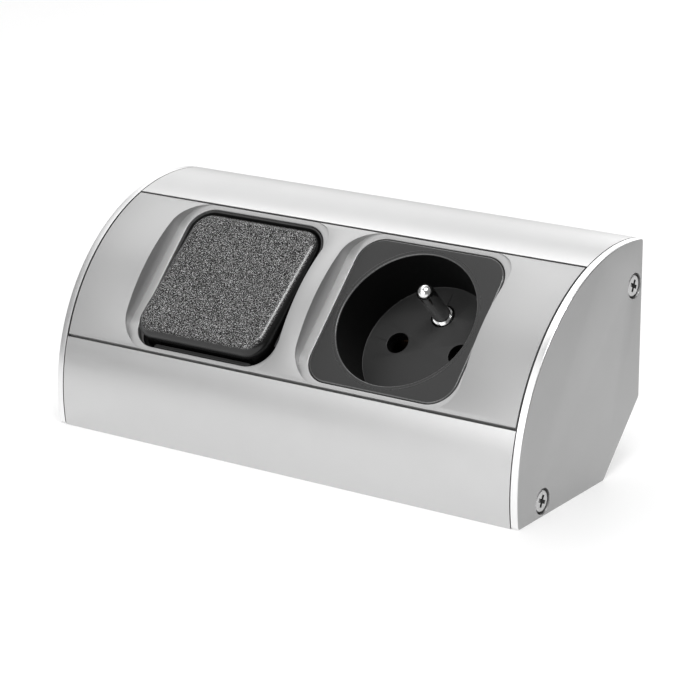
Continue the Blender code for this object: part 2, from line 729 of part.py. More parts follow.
def flange_mesh():
    """The ledge under the panel that the snap hooks hold, on the two short sides of a module."""
    return slab_mesh(FLANGE_HALF_U, FLANGE_HALF_V, FLANGE_BOTTOM, FLANGE_TOP)


def lid_mesh(half_u, half_v, corner, low, high):
    """A rounded block whose upper rim carries the weight for a Bevel modifier."""
    mesh = outline_mesh([rounded_rectangle(half_u, half_v, corner)], low, high)
    shape = bmesh.new()
    shape.from_mesh(mesh)
    bmesh.ops.dissolve_limit(
        shape, angle_limit=math.radians(1.0), verts=shape.verts, edges=shape.edges
    )
    weight = shape.edges.layers.float.new("bevel_weight_edge")
    for edge in shape.edges:
        edge[weight] = 1.0 if all(v.co.z > high - 1e-6 for v in edge.verts) else 0.0
    shape.to_mesh(mesh)
    shape.free()
    return mesh


def make_rocker_cap():
    mesh = lid_mesh(ROCKER_HALF_U, ROCKER_HALF_V, ROCKER_CORNER, ROCKER_SKIRT, ROCKER_TOP)
    cap = add_part("rocker_cap", mesh, BLACK_GRAIN, ROCKER_FRAME)
    bevel = cap.modifiers.new("round_edge", "BEVEL")
    bevel.limit_method = "WEIGHT"
    bevel.width = ROCKER_EDGE
    bevel.segments = 4
    inner = rounded_rectangle(
        ROCKER_HALF_U - ROCKER_WALL, ROCKER_HALF_V - ROCKER_WALL, ROCKER_CORNER - ROCKER_WALL
    )
    low = ROCKER_SKIRT - OVERSHOOT
    cut(cap, outline_mesh([inner], low, ROCKER_TOP - ROCKER_EDGE), "hollow")
    ceiling = rounded_rectangle(
        ROCKER_HALF_U - ROCKER_EDGE, ROCKER_HALF_V - ROCKER_EDGE, ROCKER_CORNER - ROCKER_EDGE
    )
    cut(cap, outline_mesh([ceiling], low, ROCKER_TOP - ROCKER_WALL), "ceiling")
    return cap


def make_rocker_carrier():
    plate_low = CARRIER_TOP - CARRIER_PLATE
    mesh = slab_mesh(CARRIER_HALF_U, CARRIER_HALF_V, plate_low, CARRIER_TOP)
    carrier = add_part("rocker_carrier", mesh, WHITE_PLASTIC, ROCKER_FRAME)
    join(carrier, cylinder_mesh(HUB_RADIUS, HUB_BOTTOM, plate_low + OVERLAP), "hub")
    for name, side in (("left", -1), ("right", 1)):
        span = sorted((side * ARM_INNER_U, side * (CARRIER_HALF_U - SET_IN)))
        arm = box_mesh(
            (span[0], -ARM_HALF_V, -ARM_HALF_V), (span[1], ARM_HALF_V, plate_low + OVERLAP)
        )
        join(carrier, arm, f"{name}_arm")
        span = sorted((side * (ARM_INNER_U + OVERLAP), side * PIVOT_TIP_U))
        join(carrier, lying_cylinder_mesh(PIVOT_RADIUS, *span, (0.0, 0.0)), f"{name}_pivot")
    cut(carrier, cylinder_mesh(HUB_BORE, HUB_BOTTOM - OVERSHOOT, HUB_BORE_TOP), "bore")
    return carrier


def make_plunger():
    dome = PLUNGER_ROD
    profile = [
        (0.0, PLUNGER_HEAD_TOP),
        (HUB_BORE - PIVOT_CLEARANCE, PLUNGER_HEAD_TOP),
        (HUB_BORE - PIVOT_CLEARANCE, PLUNGER_HEAD_BOTTOM),
        (PLUNGER_ROD, PLUNGER_HEAD_BOTTOM),
    ]
    for i in range(5):
        angle = math.pi / 2 * i / 4
        profile.append((dome * math.cos(angle), PLUNGER_TIP + dome - dome * math.sin(angle)))
    profile[-1] = (0.0, PLUNGER_TIP)
    return add_turned("contact_plunger", profile, WHITE_PLASTIC, ROCKER_FRAME)


def make_plunger_spring():
    sides = 12
    count = SPRING_TURNS * sides
    low = SPRING_BOTTOM + SPRING_WIRE
    high = SPRING_TOP - SPRING_WIRE
    route = []
    for i in range(count + 1):
        turn = 2 * math.pi * i / sides
        height = low + (high - low) * i / count
        route.append(Vector((SPRING_RADIUS * math.cos(turn), SPRING_RADIUS * math.sin(turn), height)))
    radii = [SPRING_WIRE] * len(route)
    return add_wire("plunger_spring", route, radii, STEEL, ROCKER_FRAME, resolution=0)


def make_switch_base():
    plate = rounded_rectangle(SWITCH_BASE_PLATE_U, SWITCH_BASE_PLATE_V, BASE_CORNER, sides=3)
    plate_low = SWITCH_BASE_TOP - SWITCH_BASE_PLATE
    mesh = outline_mesh([plate], plate_low, SWITCH_BASE_TOP)
    base = add_part("switch_base", mesh, GREY_PLASTIC, SWITCH_FRAME)
    block = rounded_rectangle(SWITCH_BASE_HALF_U, SWITCH_BASE_HALF_V, BASE_CORNER, sides=3)
    join(base, outline_mesh([block], SWITCH_BASE_BOTTOM, plate_low + OVERLAP), "block")
    for name, side in (("left", -1), ("right", 1)):
        span = sorted((side * EAR_INNER_U, side * EAR_OUTER_U))
        ear = box_mesh(
            (span[0], -EAR_HALF_V, SWITCH_BASE_TOP - OVERLAP), (span[1], EAR_HALF_V, EAR_TOP)
        )
        join(base, ear, f"{name}_ear")
        far = sorted((side * (EAR_INNER_U - OVERSHOOT), side * (EAR_OUTER_U + OVERSHOOT)))
        bearing = lying_cylinder_mesh(
            PIVOT_RADIUS + PIVOT_CLEARANCE, *far, (0.0, ROCKER_PIVOT_W), SMALL_ROUND
        )
        cut(base, bearing, f"{name}_bearing")
    high = SWITCH_BASE_TOP + OVERSHOOT
    cut(base, slab_mesh(CAVITY_HALF_U, CAVITY_HALF_V, CAVITY_FLOOR, high), "cavity")
    low = SWITCH_BASE_BOTTOM - OVERSHOOT
    cut(base, slab_mesh(SLOT_HALF_U, SLOT_HALF_V, low, CAVITY_FLOOR + OVERLAP), "slot")
    thread_top = SWITCH_STRIP_TOP + TERMINAL_REACH + GAP
    for name, side in (("common", -1), ("switched", 1)):
        thread = cylinder_mesh(TERMINAL_HOLE, CAVITY_FLOOR, thread_top, (0.0, side * TERMINAL_V))
        cut(base, thread, f"{name}_thread")
    return base


def make_terminal_screw(name, parent, centre, strip_bottom):
    """A screw from behind, with room for a wire between its head and the strip."""
    head_top = strip_bottom - TERMINAL_ROOM
    place = Matrix.Translation((*centre, head_top - TERMINAL_HEAD_HEIGHT))
    place = place @ Matrix.Rotation(math.pi, 4, "X")
    length = TERMINAL_ROOM + STRIP + TERMINAL_REACH
    profile = screw_profile(TERMINAL_HEAD, TERMINAL_HEAD_HEIGHT, TERMINAL_SHANK, length)
    screw = add_turned(name, profile, STEEL, parent, place, sides=16)
    for i, bar in enumerate(cross_meshes(place)):
        cut(screw, bar, f"bar_{i}")
    return screw


def make_switch_contacts():
    strip_low = SWITCH_STRIP_TOP - STRIP
    fulcrum_top = SEESAW_PIVOT_W - STRIP / 2 - GAP
    outline = [
        (FULCRUM, fulcrum_top),
        (-FULCRUM, fulcrum_top),
        (-2 * FULCRUM, SWITCH_STRIP_TOP),
        (-STRIP_END, SWITCH_STRIP_TOP),
        (-STRIP_END, strip_low),
        (2 * FULCRUM, strip_low),
        (2 * FULCRUM, SWITCH_STRIP_TOP),
    ]
    mesh = section_mesh([outline], -STRIP_HALF_U, STRIP_HALF_U)
    common = add_part("common_contact", mesh, COPPER, SWITCH_FRAME)
    hole_low = strip_low - OVERSHOOT
    hole_high = SWITCH_STRIP_TOP + OVERSHOOT
    cut(common, cylinder_mesh(TERMINAL_HOLE, hole_low, hole_high, (0.0, -TERMINAL_V)), "hole")
    mesh = box_mesh(
        (-STRIP_HALF_U, SWITCHED_STRIP_START, strip_low), (STRIP_HALF_U, STRIP_END, SWITCH_STRIP_TOP)
    )
    switched = add_part("switched_contact", mesh, COPPER, SWITCH_FRAME)
    cut(switched, cylinder_mesh(TERMINAL_HOLE, hole_low, hole_high, (0.0, TERMINAL_V)), "hole")
    seat = cylinder_mesh(RIVET_HOLE, hole_low, hole_high, (0.0, FIXED_RIVET_V))
    cut(switched, seat, "rivet_hole")
    tip = SWITCH_STRIP_TOP + GAP + RIVET_HEIGHT
    place = Matrix.Translation((0.0, FIXED_RIVET_V, 0.0))
    add_turned(
        "fixed_contact", rivet_profile(tip, SWITCH_STRIP_TOP, strip_low), SILVER, SWITCH_FRAME, place
    )
    make_terminal_screw("common_terminal_screw", SWITCH_FRAME, (0.0, -TERMINAL_V), strip_low)
    make_terminal_screw("switched_terminal_screw", SWITCH_FRAME, (0.0, TERMINAL_V), strip_low)


def rivet_profile(tip, strip_top, strip_low):
    """A contact rivet with a low dome above the strip and a closed head below it."""
    under = strip_top + GAP
    tail_top = strip_low - GAP
    tail_low = tail_top - RIVET_TAIL_HEIGHT
    return [
        (0.0, tip),
        (RIVET_HEAD * 0.6, tip - RIVET_DOME * 0.3),
        (RIVET_HEAD, tip - RIVET_DOME),
        (RIVET_HEAD, under),
        (RIVET_SHANK, under),
        (RIVET_SHANK, tail_top),
        (RIVET_TAIL, tail_top),
        (RIVET_TAIL - RIVET_TAIL_TAPER, tail_low),
        (0.0, tail_low),
    ]


def make_contact_rocker():
    half = STRIP / 2
    mesh = slab_mesh(SEESAW_HALF_U, SEESAW_HALF_V, -half, half)
    seesaw = add_part("contact_rocker", mesh, COPPER, SEESAW_FRAME)
    hole = cylinder_mesh(RIVET_HOLE, -half - OVERSHOOT, half + OVERSHOOT, (0.0, RIVET_V))
    cut(seesaw, hole, "rivet_hole")
    place = Matrix.Translation((0.0, RIVET_V, 0.0)) @ Matrix.Rotation(math.pi, 4, "X")
    tip = half + GAP + RIVET_HEIGHT
    add_turned("moving_contact", rivet_profile(tip, half, -half), SILVER, SEESAW_FRAME, place)


# ---------------------------------------------------------------- socket

def make_faceplate():
    face = rounded_rectangle(FRAME_HALF_U, FRAME_HALF_V, FRAME_CORNER)
    mesh = outline_mesh([face], FLANGE_BOTTOM + SET_IN, 0.0)
    plate = add_part("socket_faceplate", shade(mesh), BLACK_SATIN, SOCKET_FRAME)
    join(plate, flange_mesh(), "flange")
    cup_low = -RECESS_DEPTH - CUP_FLOOR
    cup = cylinder_mesh(
        RECESS_BOTTOM + CUP_WALL, cup_low, -PLATE, sides=2 * ROUND, top_radius=RECESS_MOUTH + CUP_WALL
    )
    join(plate, cup, "cup")
    recess = cylinder_mesh(
        RECESS_BOTTOM, -RECESS_DEPTH, 0.0, sides=2 * ROUND, top_radius=RECESS_MOUTH
    )
    cut(plate, recess, "recess")
    mouth = cylinder_mesh(
        RECESS_MOUTH - SET_IN, -2 * SET_IN, OVERSHOOT, sides=2 * ROUND, top_radius=RECESS_MOUTH
    )
    cut(plate, mouth, "mouth")
    low = cup_low - OVERSHOOT
    high = -RECESS_DEPTH + OVERSHOOT
    for name, side in (("live", -1), ("neutral", 1)):
        hole = cylinder_mesh(PIN_HOLE_RADIUS, low, high, (side * PIN_HOLE_U, 0.0), HOLE_ROUND)
        cut(plate, hole, f"{name}_hole")
    cut(plate, cylinder_mesh(EARTH_HOLE_RADIUS, low, high, (0.0, EARTH_V), HOLE_ROUND), "earth_hole")
    return plate


def make_socket_base():
    block = rounded_rectangle(SOCKET_BASE_HALF, SOCKET_BASE_HALF, BASE_CORNER, sides=3)
    mesh = outline_mesh([block], SOCKET_BASE_BOTTOM, SOCKET_BASE_TOP)
    base = add_part("socket_base", mesh, GREY_PLASTIC, SOCKET_FRAME)
    for i, (su, sv) in enumerate(((1, 1), (-1, 1), (-1, -1), (1, -1))):
        centre = (su * POST_CENTRE, sv * POST_CENTRE)
        post = slab_mesh(POST_HALF, POST_HALF, SOCKET_BASE_TOP - OVERLAP, POST_TOP, centre)
        join(base, post, f"post_{i}")
    low = SOCKET_BASE_BOTTOM - OVERSHOOT
    slot_top = SOCKET_BASE_TOP - SOCKET_BASE_FRONT
    top = SOCKET_BASE_TOP + OVERSHOOT
    for name, side in (("live", -1), ("neutral", 1)):
        u = side * PIN_HOLE_U
        slot = box_mesh((u - SLOT_HALF_U, -SLOT_HALF_V, low), (u + SLOT_HALF_U, CONTACT_SLOT_V, slot_top))
        cut(base, slot, f"{name}_slot")
        cut(base, cylinder_mesh(PIN_HOLE_RADIUS, slot_top - OVERSHOOT, top, (u, 0.0)), f"{name}_hole")
    slot = box_mesh((-SLOT_HALF_U, EARTH_SLOT_LOW, low), (SLOT_HALF_U, SLOT_HALF_V, slot_top))
    cut(base, slot, "earth_slot")
    cut(base, cylinder_mesh(EARTH_HOLE_RADIUS, slot_top - OVERSHOOT, top, (0.0, EARTH_V)), "pin_hole")
    return base


def make_earth_pin():
    dome = EARTH_PIN_RADIUS
    profile = []
    for i in range(6):
        angle = math.pi / 2 * (1 - i / 5)
        profile.append((dome * math.cos(angle), EARTH_PIN_TIP - dome + dome * math.sin(angle)))
    profile[0] = (0.0, EARTH_PIN_TIP)
    profile += [
        (EARTH_PIN_RADIUS, EARTH_COLLAR_TOP),
        (EARTH_COLLAR_RADIUS, EARTH_COLLAR_TOP),
        (EARTH_COLLAR_RADIUS, EARTH_COLLAR_BOTTOM),
        (EARTH_SPIGOT_RADIUS, EARTH_COLLAR_BOTTOM),
        (EARTH_SPIGOT_RADIUS, EARTH_SPIGOT_END),
        (0.0, EARTH_SPIGOT_END),
    ]
    place = Matrix.Translation((0.0, EARTH_V, 0.0))
    return add_turned("earth_pin", profile, NICKEL, SOCKET_FRAME, place)


def make_earth_strap():
    low = EARTH_STRAP_TOP - STRIP
    mesh = box_mesh((-STRIP_HALF_U, EARTH_STRAP_START, low), (STRIP_HALF_U, STRIP_END, EARTH_STRAP_TOP))
    strap = add_part("earth_strap", mesh, BRASS, SOCKET_FRAME)
    span = (low - OVERSHOOT, EARTH_STRAP_TOP + OVERSHOOT)
    cut(strap, cylinder_mesh(EARTH_SPIGOT_RADIUS + GAP, *span, (0.0, EARTH_V)), "pin_hole")
    cut(strap, cylinder_mesh(TERMINAL_HOLE, *span, (0.0, EARTH_TERMINAL_V)), "hole")
    make_terminal_screw("earth_terminal_screw", SOCKET_FRAME, (0.0, EARTH_TERMINAL_V), low)


def make_pin_contact(name, screw_name, side):
    """A folded sleeve whose two leaves grip a plug pin, with a tail to its terminal."""
    low = SOCKET_STRIP_TOP - STRIP
    inner = SLEEVE_GAP / 2
    outer = inner + LEAF
    bend = LEAF_TOP - LEAF_FLARE_HEIGHT
    outline = [
        (outer + LEAF_FLARE, LEAF_TOP),
        (outer, bend),
        (outer, low),
        (-STRIP_END, low),
        (-STRIP_END, SOCKET_STRIP_TOP),
        (-outer, SOCKET_STRIP_TOP),
        (-outer, bend),
        (-outer - LEAF_FLARE, LEAF_TOP),
        (-inner - LEAF_FLARE, LEAF_TOP),
        (-inner, bend),
        (-inner, SOCKET_STRIP_TOP),
        (inner, SOCKET_STRIP_TOP),
        (inner, bend),
        (inner + LEAF_FLARE, LEAF_TOP),
    ]
    u = side * PIN_HOLE_U
    mesh = section_mesh([outline], u - STRIP_HALF_U, u + STRIP_HALF_U)
    contact = add_part(name, mesh, COPPER, SOCKET_FRAME)
    span = (low - OVERSHOOT, SOCKET_STRIP_TOP + OVERSHOOT)
    cut(contact, cylinder_mesh(TERMINAL_HOLE, *span, (u, -TERMINAL_V)), "hole")
    make_terminal_screw(screw_name, SOCKET_FRAME, (u, -TERMINAL_V), low)


# ---------------------------------------------------------------- wires inside the body

def leave_terminal(spot, side, bends):
    """Spots of a wire that leaves a terminal along V, then turns down, as steps (V, W) in mm."""
    u, v, w = spot
    return [(u, v + side * along * MM, w - down * MM) for along, down in bends]


def wire_radii(route):
    """Bare near both ends, insulated between."""
    radii = []
    for spot in route:
        near = min((spot - route[0]).length, (spot - route[-1]).length)
        radii.append(WIRE_BARE_RADIUS if near < WIRE_BARE_LENGTH else WIRE_RADIUS)
    return radii


def make_wires():
    switch_w = FLOOR_W + SWITCH_STRIP_TOP - STRIP - TERMINAL_ROOM / 2
    socket_w = FLOOR_W + SOCKET_STRIP_TOP - STRIP - TERMINAL_ROOM / 2
    start = (-MODULE_U, TERMINAL_V, switch_w)
    end = (MODULE_U - PIN_HOLE_U, -TERMINAL_V, socket_w)
    spots = leave_terminal(start, -1, LINK_BENDS)
    spots += [tuple(value * MM for value in spot) for spot in LINK_MIDDLE]
    spots += reversed(leave_terminal(end, 1, LINK_BENDS))
    route = smooth_route(spots, WIRE_STEP)
    add_wire("link_wire", route, wire_radii(route), BROWN_WIRE, PANEL_FRAME)
    earth_w = FLOOR_W + EARTH_STRAP_TOP - STRIP - TERMINAL_ROOM / 2
    bends = leave_terminal((MODULE_U, EARTH_TERMINAL_V, earth_w), -1, EARTH_BENDS)
    spots = [(u + sway * MM, v, w) for (u, v, w), sway in zip(bends, EARTH_SWAY)]
    tab_y = DEPTH / 2 - EARTH_RIB_DEPTH - GAP - TAG_THICKNESS / 2
    tab = Vector((TAG_END + WIRE_BARE_RADIUS, tab_y, EARTH_SCREW_Z))
    spots += [TO_PANEL @ (tab + Vector(step) * MM) for step in TAB_STEPS]
    route = smooth_route(spots, WIRE_STEP)
    add_wire("earth_bond_wire", route, wire_radii(route), GREEN_WIRE, PANEL_FRAME)


# ---------------------------------------------------------------- the whole object

clear_scene()
PARTS = new_collection("corner_power_point")
HELPERS = new_collection("cutters")
HELPERS.hide_render = True

ALUMINIUM = new_material("aluminium", (0.80, 0.80, 0.80), 0.35, 1.0)
CAP_METAL = new_material("cap_metal", (0.62, 0.62, 0.62), 0.38, 1.0)
PANEL_PLASTIC = new_material("panel_plastic", (0.42, 0.42, 0.42), 0.5, 0.0)
BLACK_GRAIN = new_material("black_grain", (0.02, 0.02, 0.02), 0.5, 0.0)
BLACK_SATIN = new_material("black_satin", (0.025, 0.025, 0.025), 0.4, 0.0)
GREY_PLASTIC = new_material("grey_plastic", (0.12, 0.12, 0.12), 0.5, 0.0)
WHITE_PLASTIC = new_material("white_plastic", (0.75, 0.75, 0.72), 0.45, 0.0)
RUBBER = new_material("rubber", (0.02, 0.02, 0.02), 0.8, 0.0)
STEEL = new_material("steel", (0.65, 0.65, 0.65), 0.3, 1.0)
NICKEL = new_material("nickel", (0.75, 0.73, 0.70), 0.2, 1.0)
BRASS = new_material("brass", (0.75, 0.60, 0.30), 0.3, 1.0)
COPPER = new_material("copper", (0.80, 0.48, 0.33), 0.3, 1.0)
SILVER = new_material("silver", (0.85, 0.85, 0.85), 0.25, 1.0)
BROWN_WIRE = new_material("brown_wire", (0.16, 0.07, 0.03), 0.5, 0.0)
GREEN_WIRE = new_material("green_wire", (0.25, 0.40, 0.05), 0.5, 0.0)

EARTH_SCREW_Z = (EARTH_RIB_LOW + EARTH_RIB_HIGH) / 2
AXIS_POINT = Vector((0.0, DEPTH / 2 - AXIS_INSET, AXIS_INSET))
PANEL_FRAME = new_frame("panel_frame", AXIS_POINT, math.pi / 4)
TO_PANEL = (Matrix.Translation(AXIS_POINT) @ Matrix.Rotation(math.pi / 4, 4, "X")).inverted()
SWITCH_FRAME = new_frame("switch_origin", (-MODULE_U, 0.0, FLOOR_W), 0.0, PANEL_FRAME)
SOCKET_FRAME = new_frame("socket_origin", (MODULE_U, 0.0, FLOOR_W), 0.0, PANEL_FRAME)
ROCKER_FRAME = new_frame("rocker_pivot", (0.0, 0.0, ROCKER_PIVOT_W), -ROCKER_TILT, SWITCH_FRAME)
SEESAW_FRAME = new_frame("contact_pivot", (0.0, 0.0, SEESAW_PIVOT_W), SEESAW_TILT, SWITCH_FRAME)

make_housing()
make_panel()
make_end_cap("left_end_cap", -1)
make_end_cap("right_end_cap", 1)
for end_name, end_side in (("left", -1), ("right", 1)):
    for row_name, row_side in (("upper", 1), ("lower", -1)):
        make_cap_screw(f"{end_name}_{row_name}_cap_screw", end_side, row_side)
make_grommet()
make_earth_bond()
make_switch_frame()
make_rocker_cap()
make_rocker_carrier()
make_plunger()
make_plunger_spring()
make_switch_base()
make_switch_contacts()
make_contact_rocker()
make_faceplate()
make_socket_base()
make_earth_pin()
make_earth_strap()
make_pin_contact("live_contact", "live_terminal_screw", -1)
make_pin_contact("neutral_contact", "neutral_terminal_screw", 1)
make_wires()
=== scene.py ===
"""Looks of the corner power point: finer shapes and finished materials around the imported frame.

Metres, +Z up, the same frame as the CAD. The front panel leans back at 45 degrees, so the pieces
that are square to it are drawn in the panel frame: U along the body, V up along the panel, W out
of it, with the origin on the axis of the body's round front.
"""
import math

import bmesh
import bpy
from mathutils import Matrix, Vector


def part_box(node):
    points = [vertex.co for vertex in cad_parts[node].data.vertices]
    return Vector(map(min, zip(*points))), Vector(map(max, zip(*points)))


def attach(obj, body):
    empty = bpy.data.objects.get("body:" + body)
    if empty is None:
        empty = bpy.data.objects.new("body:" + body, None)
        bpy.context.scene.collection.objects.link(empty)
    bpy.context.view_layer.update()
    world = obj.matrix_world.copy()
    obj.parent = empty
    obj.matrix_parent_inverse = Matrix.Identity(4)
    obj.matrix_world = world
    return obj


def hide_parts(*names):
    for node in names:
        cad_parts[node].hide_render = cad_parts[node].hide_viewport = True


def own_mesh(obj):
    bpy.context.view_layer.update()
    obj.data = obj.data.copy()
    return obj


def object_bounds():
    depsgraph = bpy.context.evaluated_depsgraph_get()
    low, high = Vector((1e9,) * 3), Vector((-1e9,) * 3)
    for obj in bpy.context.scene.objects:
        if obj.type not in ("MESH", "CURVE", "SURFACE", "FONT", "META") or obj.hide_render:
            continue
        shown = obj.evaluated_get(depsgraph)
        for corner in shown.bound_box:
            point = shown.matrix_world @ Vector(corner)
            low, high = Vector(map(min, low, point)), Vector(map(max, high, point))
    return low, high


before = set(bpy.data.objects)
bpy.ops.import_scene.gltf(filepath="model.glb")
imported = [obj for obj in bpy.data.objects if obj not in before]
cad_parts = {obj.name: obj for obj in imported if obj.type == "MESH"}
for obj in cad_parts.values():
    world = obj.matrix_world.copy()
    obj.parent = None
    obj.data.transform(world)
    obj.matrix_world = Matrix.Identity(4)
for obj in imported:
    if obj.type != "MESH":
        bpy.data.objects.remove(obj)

CAD_LOW, CAD_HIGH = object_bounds()

MM = 0.001
OVERSHOOT = 1.0 * MM  # how far a cutter passes a surface
OVERLAP = 0.5 * MM  # how far joined shapes reach into each other
HAIR = 0.01 * MM  # sets a face in a hair, so that it doesn't lie in another one
ROUND_SIDES = 128  # sides of the socket's large round shapes
SOFTENED_ANGLE = math.radians(25)  # soften leaves edges flatter than this alone
SHADED_ANGLE = math.radians(32)  # edges flatter than this are shaded smooth

# Body, from the frame's boxes
LENGTH = CAD_HIGH.x - CAD_LOW.x
BACK_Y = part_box("housing_profile")[1].y
PROFILE_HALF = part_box("housing_profile")[1].x
PANEL_END = PROFILE_HALF - 0.25 * MM  # a fine joint shows at each end of the panel
CAP_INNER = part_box("right_end_cap")[0].x
AXIS_INSET = 8.3 * MM  # from the axis of the round front to the back plane and to the bottom plane
FRONT_RADIUS = CAD_HIGH.z - AXIS_INSET
CHAMFER = 18.0 * MM
WALL = 1.8 * MM
INNER_ROUND = 1.0 * MM
CAP_CORNER = 1.0 * MM
CAP_ARC_GAP = math.radians(1.8)  # room for the fillet between the cap's arc and its corner
CAP_RIM = 0.3 * MM
CHANNEL_V = 31.7 * MM
CHANNEL_W = 25.7 * MM
CHANNEL_RADIUS = 3.2 * MM
CHANNEL_BORE = 1.75 * MM
EARTH_RIB_LOW = 28.0 * MM
EARTH_RIB_HIGH = 34.0 * MM
EARTH_RIB_DEPTH = 4.2 * MM
WALL_HOLE_X = 61.0 * MM
WALL_HOLE_Z = 39.0 * MM
WALL_HOLE_RADIUS = 2.25 * MM
WALL_HOLE_SINK = 4.0 * MM
WALL_HOLE_EDGE = 0.2 * MM
GROMMET_U = -61.0 * MM
GROMMET_HOLE = 6.5 * MM
GROMMET_HOLE_EDGE = 0.3 * MM
GROMMET_HOLE_DEPTH = 6.0 * MM

# Panel
FLOOR_W = 47.5 * MM  # flat floor of the pockets
PANEL_HALF = 23.18 * MM
STRIP_EDGE = 23.8 * MM
STRIP_FOOT_W = 45.0 * MM
PLATE = 2.0 * MM
SKIRT_INNER = 22.24 * MM
SKIRT_W = 43.5 * MM
CATCH_V = 24.5 * MM
CATCH_LOW_W = 44.3 * MM
CATCH_HIGH_W = 44.7 * MM
POCKET_HALF_U = 25.3 * MM
POCKET_HALF_V = PANEL_HALF + 0.1 * MM  # the pockets run out at the panel's long sides
POCKET_CORNER = 8.9 * MM
WINDOW_HALF_U = 22.5 * MM
WINDOW_HALF_V = 21.95 * MM
WINDOW_CORNER = 7.4 * MM
WINDOW_LIP = 0.25 * MM
HOLLOW_ENDS = (55.0 * MM, 69.0 * MM)  # the panel is hollow behind each end
HOLLOW_HALF_V = 18.0 * MM
HOOK_U = 24.8 * MM
HOOK_THICK = 1.2 * MM
HOOK_REACH = 0.7 * MM
HOOK_HALF_V = 5.0 * MM
HOOK_CATCH = -3.8 * MM  # from the pocket floor
HOOK_BOTTOM = -4.9 * MM
SHARP_EDGE = 0.12 * MM  # radius left on moulded edges
SEAM_MARGIN = 0.6 * MM  # edges this near the panel's long sides aren't rounded a second time

# Both modules. From here W is from the pocket floor
MODULE_U = (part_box("socket_faceplate")[0].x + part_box("socket_faceplate")[1].x) / 2
MODULE_HALF_U = 22.25 * MM
MODULE_HALF_V = 21.7 * MM
MODULE_CORNER = 7.15 * MM
FLANGE_HALF_U = 24.5 * MM
FLANGE_HALF_V = 14.0 * MM
FLANGE_TOP = -2.3 * MM
FLANGE_BOTTOM = -3.5 * MM

# Switch. The rocker and its spring are measured from the pivot
ROCKER_PIVOT_W = -4.0 * MM
ROCKER_TILT = math.radians(5.7)
ROCKER_HALF_U = 21.2 * MM
ROCKER_HALF_V = 20.6 * MM
ROCKER_CORNER = 6.0 * MM
ROCKER_TOP = 6.66 * MM
ROCKER_SKIRT = -2.5 * MM
ROCKER_EDGE = 3.0 * MM
ROCKER_WALL = 1.6 * MM
ROCKER_LIP = 0.2 * MM  # chamfer round the skirt's lower edge
ROCKER_DRAFT = 0.45 * MM  # the sides lean in towards the skirt
SPRING_RADIUS = 1.45 * MM
SPRING_WIRE = 0.21 * MM  # radius of the wire
SPRING_TURNS = 5
SPRING_SIDES = 32  # steps in one turn
WIRE_SIDES = 12
SPRING_LOW = -3.88 * MM
SPRING_HIGH = 2.08 * MM
FRAME_OPEN_U = 21.75 * MM
FRAME_OPEN_V = 21.15 * MM
FRAME_OPEN_CORNER = 6.6 * MM
FRAME_OPEN_EDGE = 0.1 * MM
FRAME_TOP = -0.3 * MM
FRAME_BOTTOM = -8.7 * MM
FRAME_WALL_U = 23.2 * MM
NOTCH_U = (-14.3 * MM, 17.3 * MM)  # the frame's lower side stops here, short of its corners
NOTCH_DEPTH = 4.0 * MM
LIP_LOW_U = -14.0 * MM  # a flat lip under the rocker's lower edge
LIP_HIGH_U = 17.0 * MM
LIP_V = 20.78 * MM
LIP_THICK = 0.6 * MM

# Socket
FACE_EDGE = 0.45 * MM  # radius of the face's outer edge
RECESS_MOUTH = 19.5 * MM
RECESS_BOTTOM = 18.7 * MM
RECESS_DEPTH = 15.0 * MM
RECESS_ROOT = 0.25 * MM  # radius where the recess's wall meets its floor
MOUTH_ROUND = 0.35 * MM
CUP_WALL = 1.5 * MM
CUP_FLOOR = 1.8 * MM
CUP_CHAMFER = 0.6 * MM
RING_RADIUS = 20.55 * MM  # a fine groove round the recess
RING_DEPTH = 0.16 * MM
HOLE_EDGE = 0.25 * MM
PIN_HOLE_U = 9.5 * MM
PIN_HOLE_RADIUS = 3.0 * MM
EARTH_V = 10.0 * MM
EARTH_HOLE_RADIUS = 3.25 * MM
EARTH_PIN_RADIUS = 2.4 * MM
EARTH_PIN_TIP = -1.0 * MM
EARTH_COLLAR_RADIUS = 2.95 * MM
EARTH_COLLAR_TOP = -14.8 * MM
EARTH_COLLAR_BOTTOM = -18.0 * MM
EARTH_SPIGOT_RADIUS = 1.6 * MM
EARTH_SPIGOT_END = -27.6 * MM
EARTH_EDGE = 0.2 * MM

# Cap screws
SCREW_HEAD = 2.9 * MM
SCREW_HEAD_HEIGHT = 1.0 * MM
SCREW_HEAD_ROUND = 0.45 * MM
SCREW_NECK = 0.4 * MM  # plain shank between the head and the thread
SCREW_SHANK = 1.4 * MM
SCREW_THREAD = 1.65 * MM
SCREW_PITCH = 1.0 * MM
SCREW_LENGTH = 14.0 * MM
SCREW_SINK = 0.3 * MM
SCREW_TURN = 0.35  # the angle at which the crosses stand
SCREW_RECESS = 3.4 * MM
SCREW_RECESS_DEPTH = 1.6 * MM
SCREW_RECESS_EDGE = 0.15 * MM
SCREW_RECESS_MARGIN = 0.3 * MM
CROSS_TOP = (3.3 * MM, 1.0 * MM)  # length and width of the cross at the head's face
CROSS_FOOT = (1.5 * MM, 0.62 * MM)  # and at its foot
CROSS_DEPTH = 0.85 * MM
CROSS_REACH = 1.66 * MM  # a circle that holds the whole cross

# View
VIEW_TARGET = Vector((0.0, 4.44 * MM, 24.71 * MM))
VIEW_AZIMUTH = math.radians(34.589)
VIEW_ELEVATION = math.radians(17.460)
VIEW_ROLL = math.radians(-0.315)
VIEW_DISTANCE = 0.68802
LENS = 132.02

